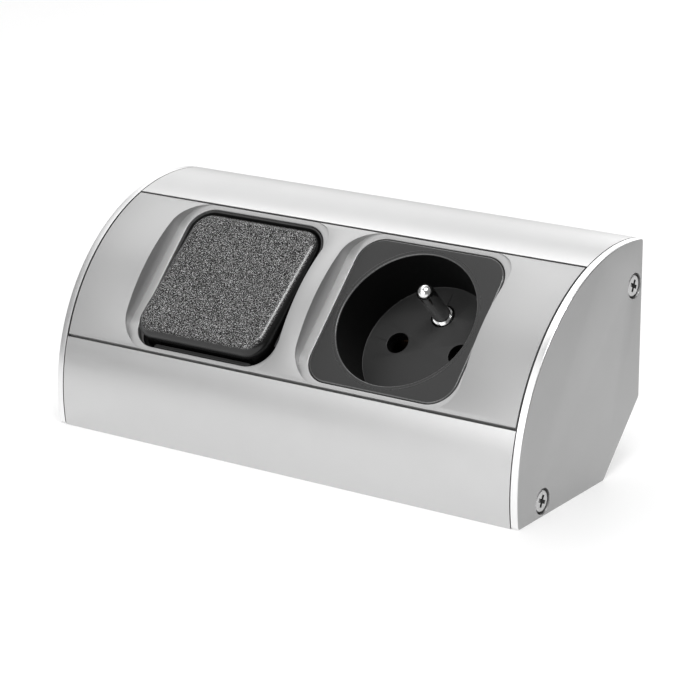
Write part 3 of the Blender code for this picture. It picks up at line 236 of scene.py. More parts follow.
# Studio. Each light: name, direction from the target, distance, size, radiance
SOFTBOXES = (
    ("low_left", (-0.30, -0.80, 0.24), 0.9, (0.7, 0.3), 0.62),
    ("middle_left", (-0.30, -0.62, 0.57), 0.9, (0.7, 0.35), 0.80),
    ("upper_left", (-0.54, 0.02, 0.84), 0.9, (0.9, 0.5), 0.48),
    ("key", (-0.44, -0.06, 0.88), 0.9, (0.5, 0.4), 0.84),
    ("upper_back", (-0.30, 0.44, 0.72), 0.9, (0.6, 0.4), 1.31),
    ("lower_back", (-0.54, 0.76, 0.36), 1.0, (0.8, 0.5), 0.83),
    ("front", (-0.05, -0.95, 0.30), 0.9, (0.7, 0.5), 1.34),
    ("glint", (0.30, -0.20, 0.88), 0.9, (0.2, 0.2), 14.0),
    ("top_front", (0.25, -0.36, 0.90), 0.9, (0.4, 0.4), 3.9),
    ("back", (0.05, 0.95, 0.30), 1.0, (0.9, 0.5), 1.12),
)
WORLD_LIGHT = 0.22
FLOOR_HALF = 5.0
FLOOR_GLOW = 0.457

AXIS = Matrix.Translation((0.0, BACK_Y - AXIS_INSET, AXIS_INSET))
TO_PANEL = AXIS @ Matrix.Rotation(math.pi / 4, 4, "X")
TO_SWITCH = TO_PANEL @ Matrix.Translation((-MODULE_U, 0.0, FLOOR_W))
TO_SOCKET = TO_PANEL @ Matrix.Translation((MODULE_U, 0.0, FLOOR_W))
TO_PIVOT = TO_SWITCH @ Matrix.Translation((0.0, 0.0, ROCKER_PIVOT_W))
TO_ROCKER = TO_PIVOT @ Matrix.Rotation(-ROCKER_TILT, 4, "X")


# ---------------------------------------------------------------- outlines, in a plane

def arc_points(radius, start, end, count, centre=(0.0, 0.0)):
    angles = [start + (end - start) * i / count for i in range(count + 1)]
    return [(centre[0] + radius * math.cos(a), centre[1] + radius * math.sin(a)) for a in angles]


def rounded_rectangle(half_x, half_y, radius, sides=14):
    points = []
    for corner, (sx, sy) in enumerate(((1, 1), (-1, 1), (-1, -1), (1, -1))):
        middle = (sx * (half_x - radius), sy * (half_y - radius))
        start = corner * math.pi / 2
        points += arc_points(radius, start, start + math.pi / 2, sides, middle)
    return points


def fillet(before, corner, after, radius, sides=5):
    """Points of a round corner between two straight edges."""
    corner = Vector(corner)
    first = (Vector(before) - corner).normalized()
    second = (Vector(after) - corner).normalized()
    half = first.angle(second) / 2
    reach = radius / math.tan(half)
    centre = corner + (first + second).normalized() * radius / math.sin(half)
    start = corner + first * reach - centre
    turn = start.angle_signed(corner + second * reach - centre)
    spots = []
    for i in range(sides + 1):
        spots.append(tuple(centre + Matrix.Rotation(-turn * i / sides, 2) @ start))
    return spots


def mirrored(half):
    """A closed outline from its half with positive V."""
    return half + [(-v, w) for v, w in reversed(half) if abs(v) > 1e-9]


def body_corners(inset):
    """End of the round front and corner of the chamfer, with positive V, set in by a wall."""
    reach = AXIS_INSET - inset
    angle = math.pi / 4 + math.asin(reach / (FRONT_RADIUS - inset))
    front = ((FRONT_RADIUS - inset) * math.sin(angle), (FRONT_RADIUS - inset) * math.cos(angle))
    chamfer_w = (CHAMFER / 2 - AXIS_INSET) * math.sqrt(2) + inset
    chamfer = (chamfer_w + reach * math.sqrt(2), chamfer_w)
    return front, chamfer


def front_arc(v_start, v_end, radius, count):
    """Points along the round front between two values of V."""
    return arc_points(radius, math.acos(v_start / radius), math.acos(v_end / radius), count)


# ---------------------------------------------------------------- meshes

def closed_mesh(shape):
    bmesh.ops.recalc_face_normals(shape, faces=shape.faces)
    mesh = bpy.data.meshes.new("shape")
    shape.to_mesh(mesh)
    shape.free()
    return mesh


def loft_mesh(rings):
    """A closed shape through rings of points, with the same number of points in each."""
    shape = bmesh.new()
    loops = [[shape.verts.new(point) for point in ring] for ring in rings]
    for low, high in zip(loops, loops[1:]):
        for i in range(len(low)):
            j = (i + 1) % len(low)
            shape.faces.new((low[i], low[j], high[j], high[i]))
    shape.faces.new(loops[0])
    shape.faces.new(loops[-1])
    return closed_mesh(shape)


def block_mesh(half_u, half_v, corner, stops, sides=14):
    """A rounded block along W. Each stop is (how far its outline is set in, W)."""
    rings = []
    for inset, w in stops:
        outline = rounded_rectangle(half_u - inset, half_v - inset, corner - inset, sides)
        rings.append([(u, v, w) for u, v in outline])
    return loft_mesh(rings)


def outline_mesh(outline, low, high):
    return loft_mesh([[(x, y, w) for x, y in outline] for w in (low, high)])


def section_mesh(outline, low, high):
    """An outline in V and W, from low to high along U."""
    return loft_mesh([[(u, v, w) for v, w in outline] for u in (low, high)])


def box_mesh(low, high):
    outline = [(low[0], low[1]), (high[0], low[1]), (high[0], high[1]), (low[0], high[1])]
    return outline_mesh(outline, low[2], high[2])


def turned_mesh(profile, sides=48, closed=False):
    """A turned shape about Z. A radius of zero at either end closes it there."""
    shape = bmesh.new()
    rings = []
    for radius, height in profile:
        if radius < 1e-7:
            rings.append([shape.verts.new((0.0, 0.0, height))])
            continue
        turn = [2 * math.pi * i / sides for i in range(sides)]
        spots = [(radius * math.cos(a), radius * math.sin(a), height) for a in turn]
        rings.append([shape.verts.new(spot) for spot in spots])
    pairs = list(zip(rings, rings[1:]))
    if closed:
        pairs.append((rings[-1], rings[0]))
    for first, second in pairs:
        for i in range(sides):
            j = (i + 1) % sides
            corners = [first[i % len(first)], first[j % len(first)]]
            corners += [second[j % len(second)], second[i % len(second)]]
            shape.faces.new(list(dict.fromkeys(corners)))
    return closed_mesh(shape)


def cylinder_mesh(radius, low, high):
    return turned_mesh([(0.0, high), (radius, high), (radius, low), (0.0, low)])


def placed(mesh, *matrices):
    for matrix in matrices:
        mesh.transform(matrix)
    return mesh


def along_u(mesh, centre):
    """A shape along Z laid along U, with its axis at centre in V and W."""
    return placed(mesh, Matrix.Rotation(math.pi / 2, 4, "Y"), Matrix.Translation((0.0, *centre)))


def rim(radius, top, sides=6):
    """Stops of a rounded upper rim: how far in and at what height."""
    angles = [math.pi / 2 * i / sides for i in range(sides + 1)]
    return [(radius - radius * math.cos(a), top - radius + radius * math.sin(a)) for a in angles]


def mouth(radius, level, sides=6):
    """Stops of a cutter that leaves a rounded edge where it comes out at a level."""
    stops = [(-inset, height) for inset, height in rim(radius, level, sides)]
    return stops + [(-radius, level + OVERSHOOT)]


# ---------------------------------------------------------------- pieces

def add_piece(name, mesh):
    piece = bpy.data.objects.new(name, mesh)
    bpy.context.scene.collection.objects.link(piece)
    return piece


def settle(piece):
    """Applies the piece's modifiers to its mesh."""
    graph = bpy.context.evaluated_depsgraph_get()
    mesh = bpy.data.meshes.new_from_object(piece.evaluated_get(graph))
    piece.modifiers.clear()
    piece.data = mesh


def combine(piece, operation, meshes):
    for mesh in meshes:
        tool = add_piece("tool", mesh)
        change = piece.modifiers.new("change", "BOOLEAN")
        change.operation = operation
        change.solver = "EXACT"
        change.object = tool
        settle(piece)
        bpy.data.objects.remove(tool, do_unlink=True)


def cut(piece, *meshes):
    combine(piece, "DIFFERENCE", meshes)


def join(piece, *meshes):
    combine(piece, "UNION", meshes)


def soften(piece, width, chosen):
    """Rounds the sharp edges that chosen picks by their two ends."""
    shape = bmesh.new()
    shape.from_mesh(piece.data)
    weight = shape.edges.layers.float.new("bevel_weight_edge")
    for edge in shape.edges:
        sharp = len(edge.link_faces) == 2 and edge.calc_face_angle() > SOFTENED_ANGLE
        edge[weight] = 1.0 if sharp and chosen(edge.verts[0].co, edge.verts[1].co) else 0.0
    shape.to_mesh(piece.data)
    shape.free()
    bevel = piece.modifiers.new("soft", "BEVEL")
    bevel.limit_method = "WEIGHT"
    bevel.width = width
    bevel.segments = 3
    settle(piece)


def finish(piece, place, body, material, nodes):
    """Puts a piece in place, shades it, gives it its materials, ties it to its body and hides its
    CAD nodes.
    """
    piece.data.transform(place)
    piece.data.shade_smooth()
    piece.data.set_sharp_from_angle(angle=SHADED_ANGLE)
    piece.data.materials.clear()
    for surface in material if isinstance(material, tuple) else (material,):
        piece.data.materials.append(surface)
    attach(piece, body)
    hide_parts(*nodes)


# ---------------------------------------------------------------- materials

class Surface:
    """A material around one Principled BSDF, with helpers for its procedural nodes."""

    def __init__(self, name, roughness, metallic=0.0, **constants):
        self.material = bpy.data.materials.new(name)
        self.material.use_nodes = True
        self.tree = self.material.node_tree
        self.shader = self.tree.nodes["Principled BSDF"]
        self.shader.inputs["Roughness"].default_value = roughness
        self.shader.inputs["Metallic"].default_value = metallic
        for socket, value in constants.items():
            self.shader.inputs[socket.replace("_", " ")].default_value = value

    def node(self, kind, settings=None, **sockets):
        made = self.tree.nodes.new(kind)
        for key, value in (settings or {}).items():
            setattr(made, key, value)
        for key, value in sockets.items():
            self.feed(made.inputs[key.replace("_", " ")], value)
        return made

    def feed(self, socket, value):
        if isinstance(value, bpy.types.NodeSocket):
            self.tree.links.new(value, socket)
        else:
            socket.default_value = value

    def place(self, stretch=(1.0, 1.0, 1.0)):
        """The piece's own coordinates in metres, stretched."""
        coordinates = self.node("ShaderNodeTexCoord").outputs["Object"]
        mapping = self.node("ShaderNodeMapping", Vector=coordinates, Scale=stretch)
        return mapping.outputs["Vector"]

    def noise(self, size, detail, stretch=(1.0, 1.0, 1.0)):
        """Noise whose features are about size across, between 0 and 1."""
        scale = tuple(s / size for s in stretch)
        made = self.node("ShaderNodeTexNoise", Vector=self.place(scale), Scale=1.0, Detail=detail)
        return made.outputs["Fac"]

    def ranged(self, value, low, high, to_low, to_high, smooth=False):
        kind = "SMOOTHSTEP" if smooth else "LINEAR"
        made = self.node("ShaderNodeMapRange", {"interpolation_type": kind}, Value=value)
        limits = {"From Min": low, "From Max": high, "To Min": to_low, "To Max": to_high}
        for key, number in limits.items():
            made.inputs[key].default_value = number
        return made.outputs["Result"]

    def mixed(self, factor, first, second):
        """A colour between two others, each a grey or a colour. 6, 7 and 2 are colour sockets."""
        made = self.node("ShaderNodeMix", {"data_type": "RGBA"})
        self.feed(made.inputs["Factor"], factor)
        self.feed(made.inputs[6], colour(first))
        self.feed(made.inputs[7], colour(second))
        return made.outputs[2]

    def maths(self, operation, first, second):
        made = self.node("ShaderNodeMath", {"operation": operation})
        self.feed(made.inputs[0], first)
        self.feed(made.inputs[1], second)
        return made.outputs[0]

    def blend(self, first, second, share):
        """Share of the first value and the rest of the second."""
        part = self.maths("MULTIPLY", first, share)
        return self.maths("ADD", part, self.maths("MULTIPLY", second, 1.0 - share))

    def vector_maths(self, operation, first, second, output):
        made = self.node("ShaderNodeVectorMath", {"operation": operation})
        self.feed(made.inputs[0], first)
        self.feed(made.inputs[1], second)
        return made.outputs[output]

    def paint(self, value):
        self.feed(self.shader.inputs["Base Color"], colour(value))

    def rough(self, value):
        self.feed(self.shader.inputs["Roughness"], value)

    def bump(self, height, distance, strength):
        made = self.node("ShaderNodeBump", Height=height, Distance=distance, Strength=strength)
        self.feed(self.shader.inputs["Normal"], made.outputs["Normal"])


def colour(value):
    """RGBA from a grey or a colour. A socket or an RGBA value passes through."""
    if isinstance(value, float):
        return (value, value, value, 1.0)
    if isinstance(value, tuple) and len(value) == 3:
        return (*value, 1.0)
    return value


def anodised(name, light, dark, roughness):
    """Satin anodised aluminium with a fine drawn grain along the body."""
    s = Surface(name, roughness, 1.0)
    grain = s.noise(0.22 * MM, 3.0, (0.012, 1.0, 1.0))
    cloud = s.noise(14 * MM, 2.0)
    s.paint(s.mixed(s.blend(grain, cloud, 0.3), dark, light))
    s.rough(s.ranged(grain, 0.3, 0.7, roughness - 0.02, roughness + 0.03))
    s.bump(grain, 0.001 * MM, 0.3)
    return s.material


def blasted_metal(name, light, dark, roughness):
    """A fine even matt metal, as on a die-cast and lacquered part."""
    s = Surface(name, roughness, 1.0)
    speck = s.noise(0.25 * MM, 3.0)
    cloud = s.noise(11 * MM, 2.0)
    s.paint(s.mixed(s.blend(speck, cloud, 0.5), dark, light))
    s.rough(s.ranged(speck, 0.3, 0.7, roughness - 0.04, roughness + 0.05))
    s.bump(speck, 0.006 * MM, 0.4)
    return s.material


def moulded(name, light, dark, roughness, grain_size, grain_height, **constants):
    """Moulded plastic with its tool's fine texture. Silver lacquer makes it partly metallic."""
    s = Surface(name, roughness, **constants)
    grain = s.noise(grain_size, 2.0)
    cloud = s.noise(9 * MM, 3.0)
    s.paint(s.mixed(s.blend(grain, cloud, 0.5), dark, light))
    s.rough(s.ranged(grain, 0.3, 0.7, roughness - 0.015, roughness + 0.02))
    s.bump(grain, grain_height, 0.5)
    return s.material


def grained_black():
    """Black plastic with a coarse grain on its top, fading over the rounded edge; its peaks are
    painted light grey, painted glints.
    """
    shine = 0.55
    s = Surface("grained_black", 0.34, Specular_IOR_Level=shine)
    grain = s.blend(s.noise(0.25 * MM, 1.0), s.noise(0.16 * MM, 1.0), 0.6)
    pivot = TO_ROCKER.translation
    out = (TO_ROCKER.to_3x3() @ Vector((0.0, 0.0, 1.0))).normalized()
    coordinates = s.node("ShaderNodeTexCoord").outputs["Object"]
    from_pivot = s.vector_maths("SUBTRACT", coordinates, pivot, "Vector")
    level = s.vector_maths("DOT_PRODUCT", from_pivot, out, "Value")
    # Two masks, from the rounded edge to the flat top: where there is grain and painted glint, and
    # where it is full
    grain_and_glint = s.ranged(level, ROCKER_TOP - 1.2 * MM, ROCKER_TOP - 0.15 * MM, 0.0, 1.0, True)
    flat = s.ranged(level, ROCKER_TOP - 0.4 * MM, ROCKER_TOP - 0.03 * MM, 0.0, 1.0, True)
    glint_peaks = s.ranged(grain, 0.52, 0.62, 0.0, 1.0, True)
    # Painted glints: the grain's peaks are painted light grey on the black, fading over the
    # rounded edge
    s.paint(s.mixed(s.maths("MULTIPLY", glint_peaks, grain_and_glint), 0.002, 0.48))
    s.rough(s.ranged(flat, 0.0, 1.0, 0.26, 0.55))
    glitter = s.maths("MULTIPLY", s.ranged(glint_peaks, 0.0, 1.0, -0.30, 0.30), flat)
    s.feed(s.shader.inputs["Specular IOR Level"], s.maths("ADD", glitter, shine))
    height = s.maths("MULTIPLY", grain, grain_and_glint)
    height = s.maths("MULTIPLY", height, s.ranged(flat, 0.0, 1.0, 0.2, 1.0))
    s.bump(height, 0.14 * MM, 0.9)
    return s.material


def rubber():
    s = Surface("soft_rubber", 0.75)
    grain = s.noise(0.4 * MM, 3.0)
    s.paint(s.mixed(grain, 0.008, 0.03))
    s.rough(s.ranged(grain, 0.3, 0.7, 0.68, 0.82))
    s.bump(grain, 0.03 * MM, 0.5)
    return s.material


def turned_metal(name, light, dark, roughness, mark_size):
    """Bright machined or plated metal with small marks."""
    s = Surface(name, roughness, 1.0)
    marks = s.noise(mark_size, 4.0)
    cloud = s.noise(mark_size * 6, 2.0)
    s.paint(s.mixed(cloud, dark, light))
    s.rough(s.ranged(marks, 0.3, 0.7, roughness - 0.05, roughness + 0.08))
    s.bump(marks, 0.004 * MM, 0.4)
    return s.material


def wire_sheath(name, first, second, band):
    """Glossy wire insulation; the second colour runs round it in bands."""
    s = Surface(name, 0.35)
    wave = s.node("ShaderNodeTexWave", Vector=s.place(), Scale=1 / band, Distortion=1.5)
    stripe = s.ranged(wave.outputs["Fac"], 0.55, 0.65, 0.0, 1.0, True)
    s.paint(s.mixed(stripe, first, second))
    grain = s.noise(0.5 * MM, 2.0)
    s.rough(s.ranged(grain, 0.3, 0.7, 0.3, 0.42))
    s.bump(grain, 0.01 * MM, 0.3)
    return s.material


ALUMINIUM = anodised("satin_anodised", 0.62, 0.57, 0.32)
CAP_FACE = blasted_metal("cap_face", 0.475, 0.415, 0.46)
# The caps' edge: a brighter copy of the aluminium, painted highlight along the rim
CAP_EDGE_HIGHLIGHT = anodised("cap_edge_highlight", 0.88, 0.84, 0.30)
PANEL_GREY = moulded("panel_grey", 0.418, 0.404, 0.37, 0.3 * MM, 0.0006 * MM, metallic=0.55)
GRAINED_BLACK = grained_black()
SATIN_BLACK = moulded(
    "satin_black", 0.025, 0.018, 0.48, 0.35 * MM, 0.015 * MM, Specular_IOR_Level=0.4
)
# A lighter, glossier black for the socket face's rounded outer edge: painted highlight
EDGE_HIGHLIGHT_BLACK = moulded(
    "edge_highlight_black", 0.09, 0.07, 0.28, 0.5 * MM, 0.002 * MM, Specular_IOR_Level=0.8
)
# A black darker and duller than the face's own: painted shade on the recess wall, in the pin holes
# and on the socket base behind them
RECESS_SHADE_BLACK = moulded(
    "recess_shade_black", 0.006, 0.003, 0.40, 0.5 * MM, 0.004 * MM, Specular_IOR_Level=0.10
)
DARK_GREY = moulded("dark_grey", 0.14, 0.11, 0.5, 0.5 * MM, 0.02 * MM)
WHITE = moulded("white_nylon", 0.78, 0.72, 0.42, 0.5 * MM, 0.015 * MM)
RUBBER = rubber()
ZINC = turned_metal("bright_zinc", 0.62, 0.46, 0.28, 0.5 * MM)
SHADOWED_ZINC = turned_metal("shadowed_zinc", 0.10, 0.06, 0.45, 0.5 * MM)
NICKEL = turned_metal("nickel_plate", 0.86, 0.78, 0.16, 0.4 * MM)
BRASS = turned_metal("brass", (0.82, 0.62, 0.28), (0.66, 0.46, 0.18), 0.28, 0.6 * MM)
# Copper darkened far below its own colour: painted shade for the contacts seen down the socket's
# pin holes
SHADE_DARKENED_COPPER = turned_metal("copper", (0.12, 0.075, 0.05), (0.07, 0.045, 0.03), 0.42, 0.6 * MM)
SILVER = turned_metal("contact_silver", 0.90, 0.74, 0.24, 0.4 * MM)
BROWN_WIRE = wire_sheath("brown_sheath", (0.14, 0.055, 0.025), (0.17, 0.07, 0.03), 8 * MM)
GREEN_WIRE = wire_sheath("green_yellow_sheath", (0.05, 0.28, 0.05), (0.75, 0.62, 0.05), 5 * MM)

# The CAD pieces that show as they are, with their materials
KEPT_NODES = {
    "earth_bond_screw": ZINC,
    "earth_ring_tag": BRASS,
    "rocker_carrier": WHITE,
    "contact_plunger": WHITE,
    "switch_base": DARK_GREY,
    "common_contact": SHADE_DARKENED_COPPER,
    "switched_contact": SHADE_DARKENED_COPPER,
    "fixed_contact": SILVER,
    "common_terminal_screw": ZINC,
    "switched_terminal_screw": ZINC,
    "contact_rocker": SHADE_DARKENED_COPPER,
    "moving_contact": SILVER,
    "socket_base": RECESS_SHADE_BLACK,
    "earth_strap": BRASS,
    "live_contact": SHADE_DARKENED_COPPER,
    "neutral_contact": SHADE_DARKENED_COPPER,
    "live_terminal_screw": ZINC,
    "neutral_terminal_screw": ZINC,
    "earth_terminal_screw": ZINC,
    "link_wire": BROWN_WIRE,
    "earth_bond_wire": GREEN_WIRE,
}


# ---------------------------------------------------------------- body

def housing_outline():
    """The aluminium section: a shell that is open in front, between the two strips."""
    front, chamfer = body_corners(0.0)
    outer = front_arc(STRIP_EDGE, front[0], FRONT_RADIUS, 60)
    edge = fillet((STRIP_EDGE, STRIP_FOOT_W), outer[0], outer[1], SHARP_EDGE, 3)
    corner = fillet(outer[-2], front, chamfer, SHARP_EDGE, 3)
    lower = fillet(front, chamfer, (-chamfer[0], chamfer[1]), 2 * SHARP_EDGE, 3)
    outer_half = edge + outer[1:-1] + corner + lower
    front, chamfer = body_corners(WALL)
    inner_radius = FRONT_RADIUS - WALL
    foot_v = math.sqrt(inner_radius ** 2 - STRIP_FOOT_W ** 2)
    inner_half = [(STRIP_EDGE, STRIP_FOOT_W)] + front_arc(foot_v, front[0], inner_radius, 30)
    inner_half += fillet(front, chamfer, (-chamfer[0], chamfer[1]), INNER_ROUND)
    outline = outer_half + [(-v, w) for v, w in reversed(outer_half)]
    return outline + [(-v, w) for v, w in inner_half] + list(reversed(inner_half))


def grommet_hole_mesh():
    wall_face = body_corners(0.0)[1][1]
    end = wall_face + GROMMET_HOLE_DEPTH
    hole = [(-inset, -w) for inset, w in mouth(GROMMET_HOLE_EDGE, -wall_face, 4)]
    hole = [(GROMMET_HOLE - inset, w) for inset, w in hole]
    profile = [(0.0, hole[-1][1])] + hole[::-1] + [(GROMMET_HOLE, end), (0.0, end)]
    return placed(turned_mesh(profile, 64), Matrix.Translation((GROMMET_U, 0.0, 0.0)))


def wall_hole_mesh():
    """A countersunk screw hole through the back wall, sunk from inside. It runs along Z."""
    slope = WALL_HOLE_SINK - WALL_HOLE_RADIUS
    return turned_mesh([
        (0.0, BACK_Y - WALL - OVERSHOOT),
        (WALL_HOLE_SINK + OVERSHOOT, BACK_Y - WALL - OVERSHOOT),
        (WALL_HOLE_RADIUS, BACK_Y - WALL + slope),
        (WALL_HOLE_RADIUS, BACK_Y - WALL_HOLE_EDGE),
        (WALL_HOLE_RADIUS + WALL_HOLE_EDGE + OVERSHOOT, BACK_Y + OVERSHOOT),
        (0.0, BACK_Y + OVERSHOOT),
    ])


def make_housing():
    section = section_mesh(housing_outline(), -PROFILE_HALF, PROFILE_HALF)
    housing = add_piece("housing_shell", section)
    far = PROFILE_HALF + OVERSHOOT
    for side in (1, -1):
        centre = (side * CHANNEL_V, CHANNEL_W)
        join(housing, along_u(cylinder_mesh(CHANNEL_RADIUS, -PROFILE_HALF, PROFILE_HALF), centre))
        cut(housing, along_u(cylinder_mesh(CHANNEL_BORE, -far, far), centre))
    from_world = TO_PANEL.inverted()
    rib = box_mesh(
        (-PROFILE_HALF, BACK_Y - EARTH_RIB_DEPTH, EARTH_RIB_LOW),
        (PROFILE_HALF, BACK_Y - OVERLAP, EARTH_RIB_HIGH),
    )
    join(housing, placed(rib, from_world))
    cut(housing, grommet_hole_mesh())
    to_wall = Matrix.Rotation(-math.pi / 2, 4, "X")
    earth_z = (EARTH_RIB_LOW + EARTH_RIB_HIGH) / 2
    drill = cylinder_mesh(CHANNEL_BORE, BACK_Y - EARTH_RIB_DEPTH - OVERSHOOT, BACK_Y - OVERSHOOT)
    cut(housing, placed(drill, to_wall, Matrix.Translation((0.0, 0.0, earth_z)), from_world))
    for side in (-1, 1):
        place = Matrix.Translation((side * WALL_HOLE_X, 0.0, WALL_HOLE_Z))
        cut(housing, placed(wall_hole_mesh(), to_wall, place, from_world))
    finish(housing, TO_PANEL, "body", ALUMINIUM, ["housing_profile"])


def cap_outline(inset):
    front, chamfer = body_corners(inset)
    radius = FRONT_RADIUS - inset
    corner = CAP_CORNER - inset
    end = math.atan2(front[0], front[1]) - CAP_ARC_GAP
    half = [(radius * math.sin(end * i / 80), radius * math.cos(end * i / 80)) for i in range(81)]
    half += fillet(half[-1], front, chamfer, corner)
    half += fillet(front, chamfer, (-chamfer[0], chamfer[1]), corner)
    return mirrored(half)


def make_end_cap(name, side, node):
    """A cap plate. Its face has a finish of its own; its edge gets a much brighter copy of the
    aluminium, a painted highlight along the rim.
    """
    outer = LENGTH / 2
    stops = [(0.0, CAP_INNER)] + rim(CAP_RIM, outer, 5)
    rings = [[(side * u, v, w) for v, w in cap_outline(inset)] for inset, u in stops]
    cap = add_piece(name, loft_mesh(rings))
    for turn in (1, -1):
        stops = [(0.0, outer - SCREW_RECESS_DEPTH)] + mouth(SCREW_RECESS_EDGE, outer, 4)
        profile = [(0.0, CAP_INNER - OVERSHOOT), (CHANNEL_BORE, CAP_INNER - OVERSHOOT)]
        profile += [(CHANNEL_BORE, outer - SCREW_RECESS_DEPTH)]
        profile += [(SCREW_RECESS - inset, height) for inset, height in stops]
        profile.append((0.0, profile[-1][1]))
        tool = turned_mesh(profile, 64)
        if side < 0:
            tool.transform(Matrix.Rotation(math.pi, 4, "X"))
        cut(cap, along_u(tool, (turn * CHANNEL_V, CHANNEL_W)))
    finish(cap, Matrix.Identity(4), "body", (CAP_FACE, CAP_EDGE_HIGHLIGHT), [node])
    for face in cap.data.polygons:
        on_edge = abs(face.normal.x) < 0.8 and not in_screw_recess(face.center)
        face.material_index = 1 if on_edge else 0
    cap.data.transform(TO_PANEL)


def in_screw_recess(point):
    spots = [math.hypot(point.y - turn * CHANNEL_V, point.z - CHANNEL_W) for turn in (1, -1)]
    return min(spots) < SCREW_RECESS + SCREW_RECESS_MARGIN


def cross_ring(length, width, w):
    """A plus-shaped outline."""
    a, b = length / 2, width / 2
    corner = [(a, -b), (a, b), (b, b), (b, a), (-b, a), (-b, b)]
    return [(x, y, w) for x, y in corner] + [(-x, -y, w) for x, y in corner]


def make_cap_screw(name, side, turn, node):
    """A pan-head screw with a tapered cross recess and a rolled thread."""
    profile = [(0.0, 0.0)]
    head = reversed(rim(SCREW_HEAD_ROUND, 0.0, 6))
    profile += [(SCREW_HEAD - inset, height) for inset, height in head]
    profile += [(SCREW_HEAD, -SCREW_HEAD_HEIGHT), (SCREW_SHANK, -SCREW_HEAD_HEIGHT)]
    w = -SCREW_HEAD_HEIGHT - SCREW_NECK
    end = -SCREW_HEAD_HEIGHT - SCREW_LENGTH
    while w > end + 2 * SCREW_PITCH:  # one turn of the thread, up to its crest and back
        profile += [(SCREW_SHANK, w), (SCREW_THREAD, w - 0.4 * SCREW_PITCH)]
        profile.append((SCREW_SHANK, w - 0.8 * SCREW_PITCH))
        w -= SCREW_PITCH
    profile += [(SCREW_SHANK * 0.4, end), (0.0, end)]
    screw = add_piece(name, turned_mesh(profile))
    recess = [
        cross_ring(CROSS_TOP[0] + 0.3 * MM, CROSS_TOP[1] + 0.2 * MM, OVERSHOOT),
        cross_ring(*CROSS_TOP, 0.0),
        cross_ring(*CROSS_FOOT, -CROSS_DEPTH),
    ]
    cut(screw, loft_mesh(recess))
    head_u = side * (LENGTH / 2 - SCREW_SINK)
    place = Matrix.Translation((head_u, turn * CHANNEL_V, CHANNEL_W))
    place = place @ Matrix.Rotation(side * math.pi / 2, 4, "Y")
    place = place @ Matrix.Rotation(SCREW_TURN, 4, "Z")
    finish(screw, Matrix.Identity(4), "body", (ZINC, SHADOWED_ZINC), [node])
    # Faces inside the cross recess take the dark copy of the zinc: painted shade
    for face in screw.data.polygons:
        near = math.hypot(face.center.x, face.center.y) < CROSS_REACH
        in_cross = near and face.center.z > -CROSS_DEPTH and face.normal.z < 0.9
        face.material_index = 1 if in_cross else 0
    screw.data.transform(TO_PANEL @ place)


def make_grommet():
    """A rubber ring that grips the edge of the inlet hole."""
    low = body_corners(0.0)[1][1]
    high = body_corners(WALL)[1][1]
    gap = 0.3 * MM
    bore = 5.2 * MM
    lip = 7.6 * MM
    thick = 0.8 * MM
    round_edge = 0.35 * MM
    profile = []
    for inset, height in reversed(rim(round_edge, high + gap + thick, 4)):
        profile.append((lip - inset, height))
    profile += [(lip, high + gap), (GROMMET_HOLE - gap, high + gap)]
    profile += [(GROMMET_HOLE - gap, low - gap), (lip, low - gap)]
    for inset, height in rim(round_edge, -(low - gap - thick), 4):
        profile.append((lip - inset, -height))
    bottom = low - gap - thick
    top = high + gap + thick
    profile += [(bore + round_edge, bottom), (bore, bottom + round_edge)]
    profile += [(bore, top - round_edge), (bore + round_edge, top)]
    grommet = add_piece("grommet_ring", turned_mesh(profile, 72, closed=True))
    place = TO_PANEL @ Matrix.Translation((GROMMET_U, 0.0, 0.0))
    finish(grommet, place, "body", RUBBER, ["cable_grommet"])


# ---------------------------------------------------------------- panel

def make_panel():
    half = [(SKIRT_INNER, FLOOR_W - PLATE), (SKIRT_INNER, SKIRT_W), (PANEL_HALF, SKIRT_W)]
    half += [(CATCH_V, CATCH_LOW_W), (CATCH_V, CATCH_HIGH_W), (PANEL_HALF, CATCH_HIGH_W)]
    arc = front_arc(PANEL_HALF, 0.0, FRONT_RADIUS, 44)
    half += fillet((PANEL_HALF, CATCH_HIGH_W), arc[0], arc[1], SHARP_EDGE, 3) + arc[1:]
    half[-1] = (0.0, FRONT_RADIUS)
    panel = add_piece("panel_cover", section_mesh(mirrored(half), -PANEL_END, PANEL_END))
    for side in (-1, 1):
        shift = Matrix.Translation((side * MODULE_U, 0.0, 0.0))
        stops = ((0.0, FLOOR_W), (0.0, FRONT_RADIUS + OVERSHOOT))
        pocket = block_mesh(POCKET_HALF_U, POCKET_HALF_V, POCKET_CORNER, stops, 24)
        cut(panel, placed(pocket, shift))

    def on_front(a, b):
        at_surface = min(math.hypot(a.y, a.z), math.hypot(b.y, b.z)) > FRONT_RADIUS - HAIR
        off_seams = max(abs(a.y), abs(b.y)) < PANEL_HALF - SEAM_MARGIN
        return at_surface and off_seams and abs(a.x) < PANEL_END - OVERSHOOT

    soften(panel, SHARP_EDGE, on_front)
    for side in (-1, 1):
        shift = Matrix.Translation((side * MODULE_U, 0.0, 0.0))
        stops = [(0.0, SKIRT_W)] + mouth(WINDOW_LIP, FLOOR_W, 5)
        window = block_mesh(WINDOW_HALF_U, WINDOW_HALF_V, WINDOW_CORNER, stops, 20)
        cut(panel, placed(window, shift))
        for turn in (-1, 1):
            join(panel, hook_mesh(side * MODULE_U, turn))
        hollow = [(HOLLOW_HALF_V, FLOOR_W - PLATE - OVERSHOOT)]
        hollow += front_arc(HOLLOW_HALF_V, 0.0, FRONT_RADIUS - PLATE, 16)
        hollow[-1] = (0.0, FRONT_RADIUS - PLATE)
        cut(panel, section_mesh(mirrored(hollow), *sorted(side * end for end in HOLLOW_ENDS)))
    finish(panel, TO_PANEL, "body", PANEL_GREY, ["front_panel"])


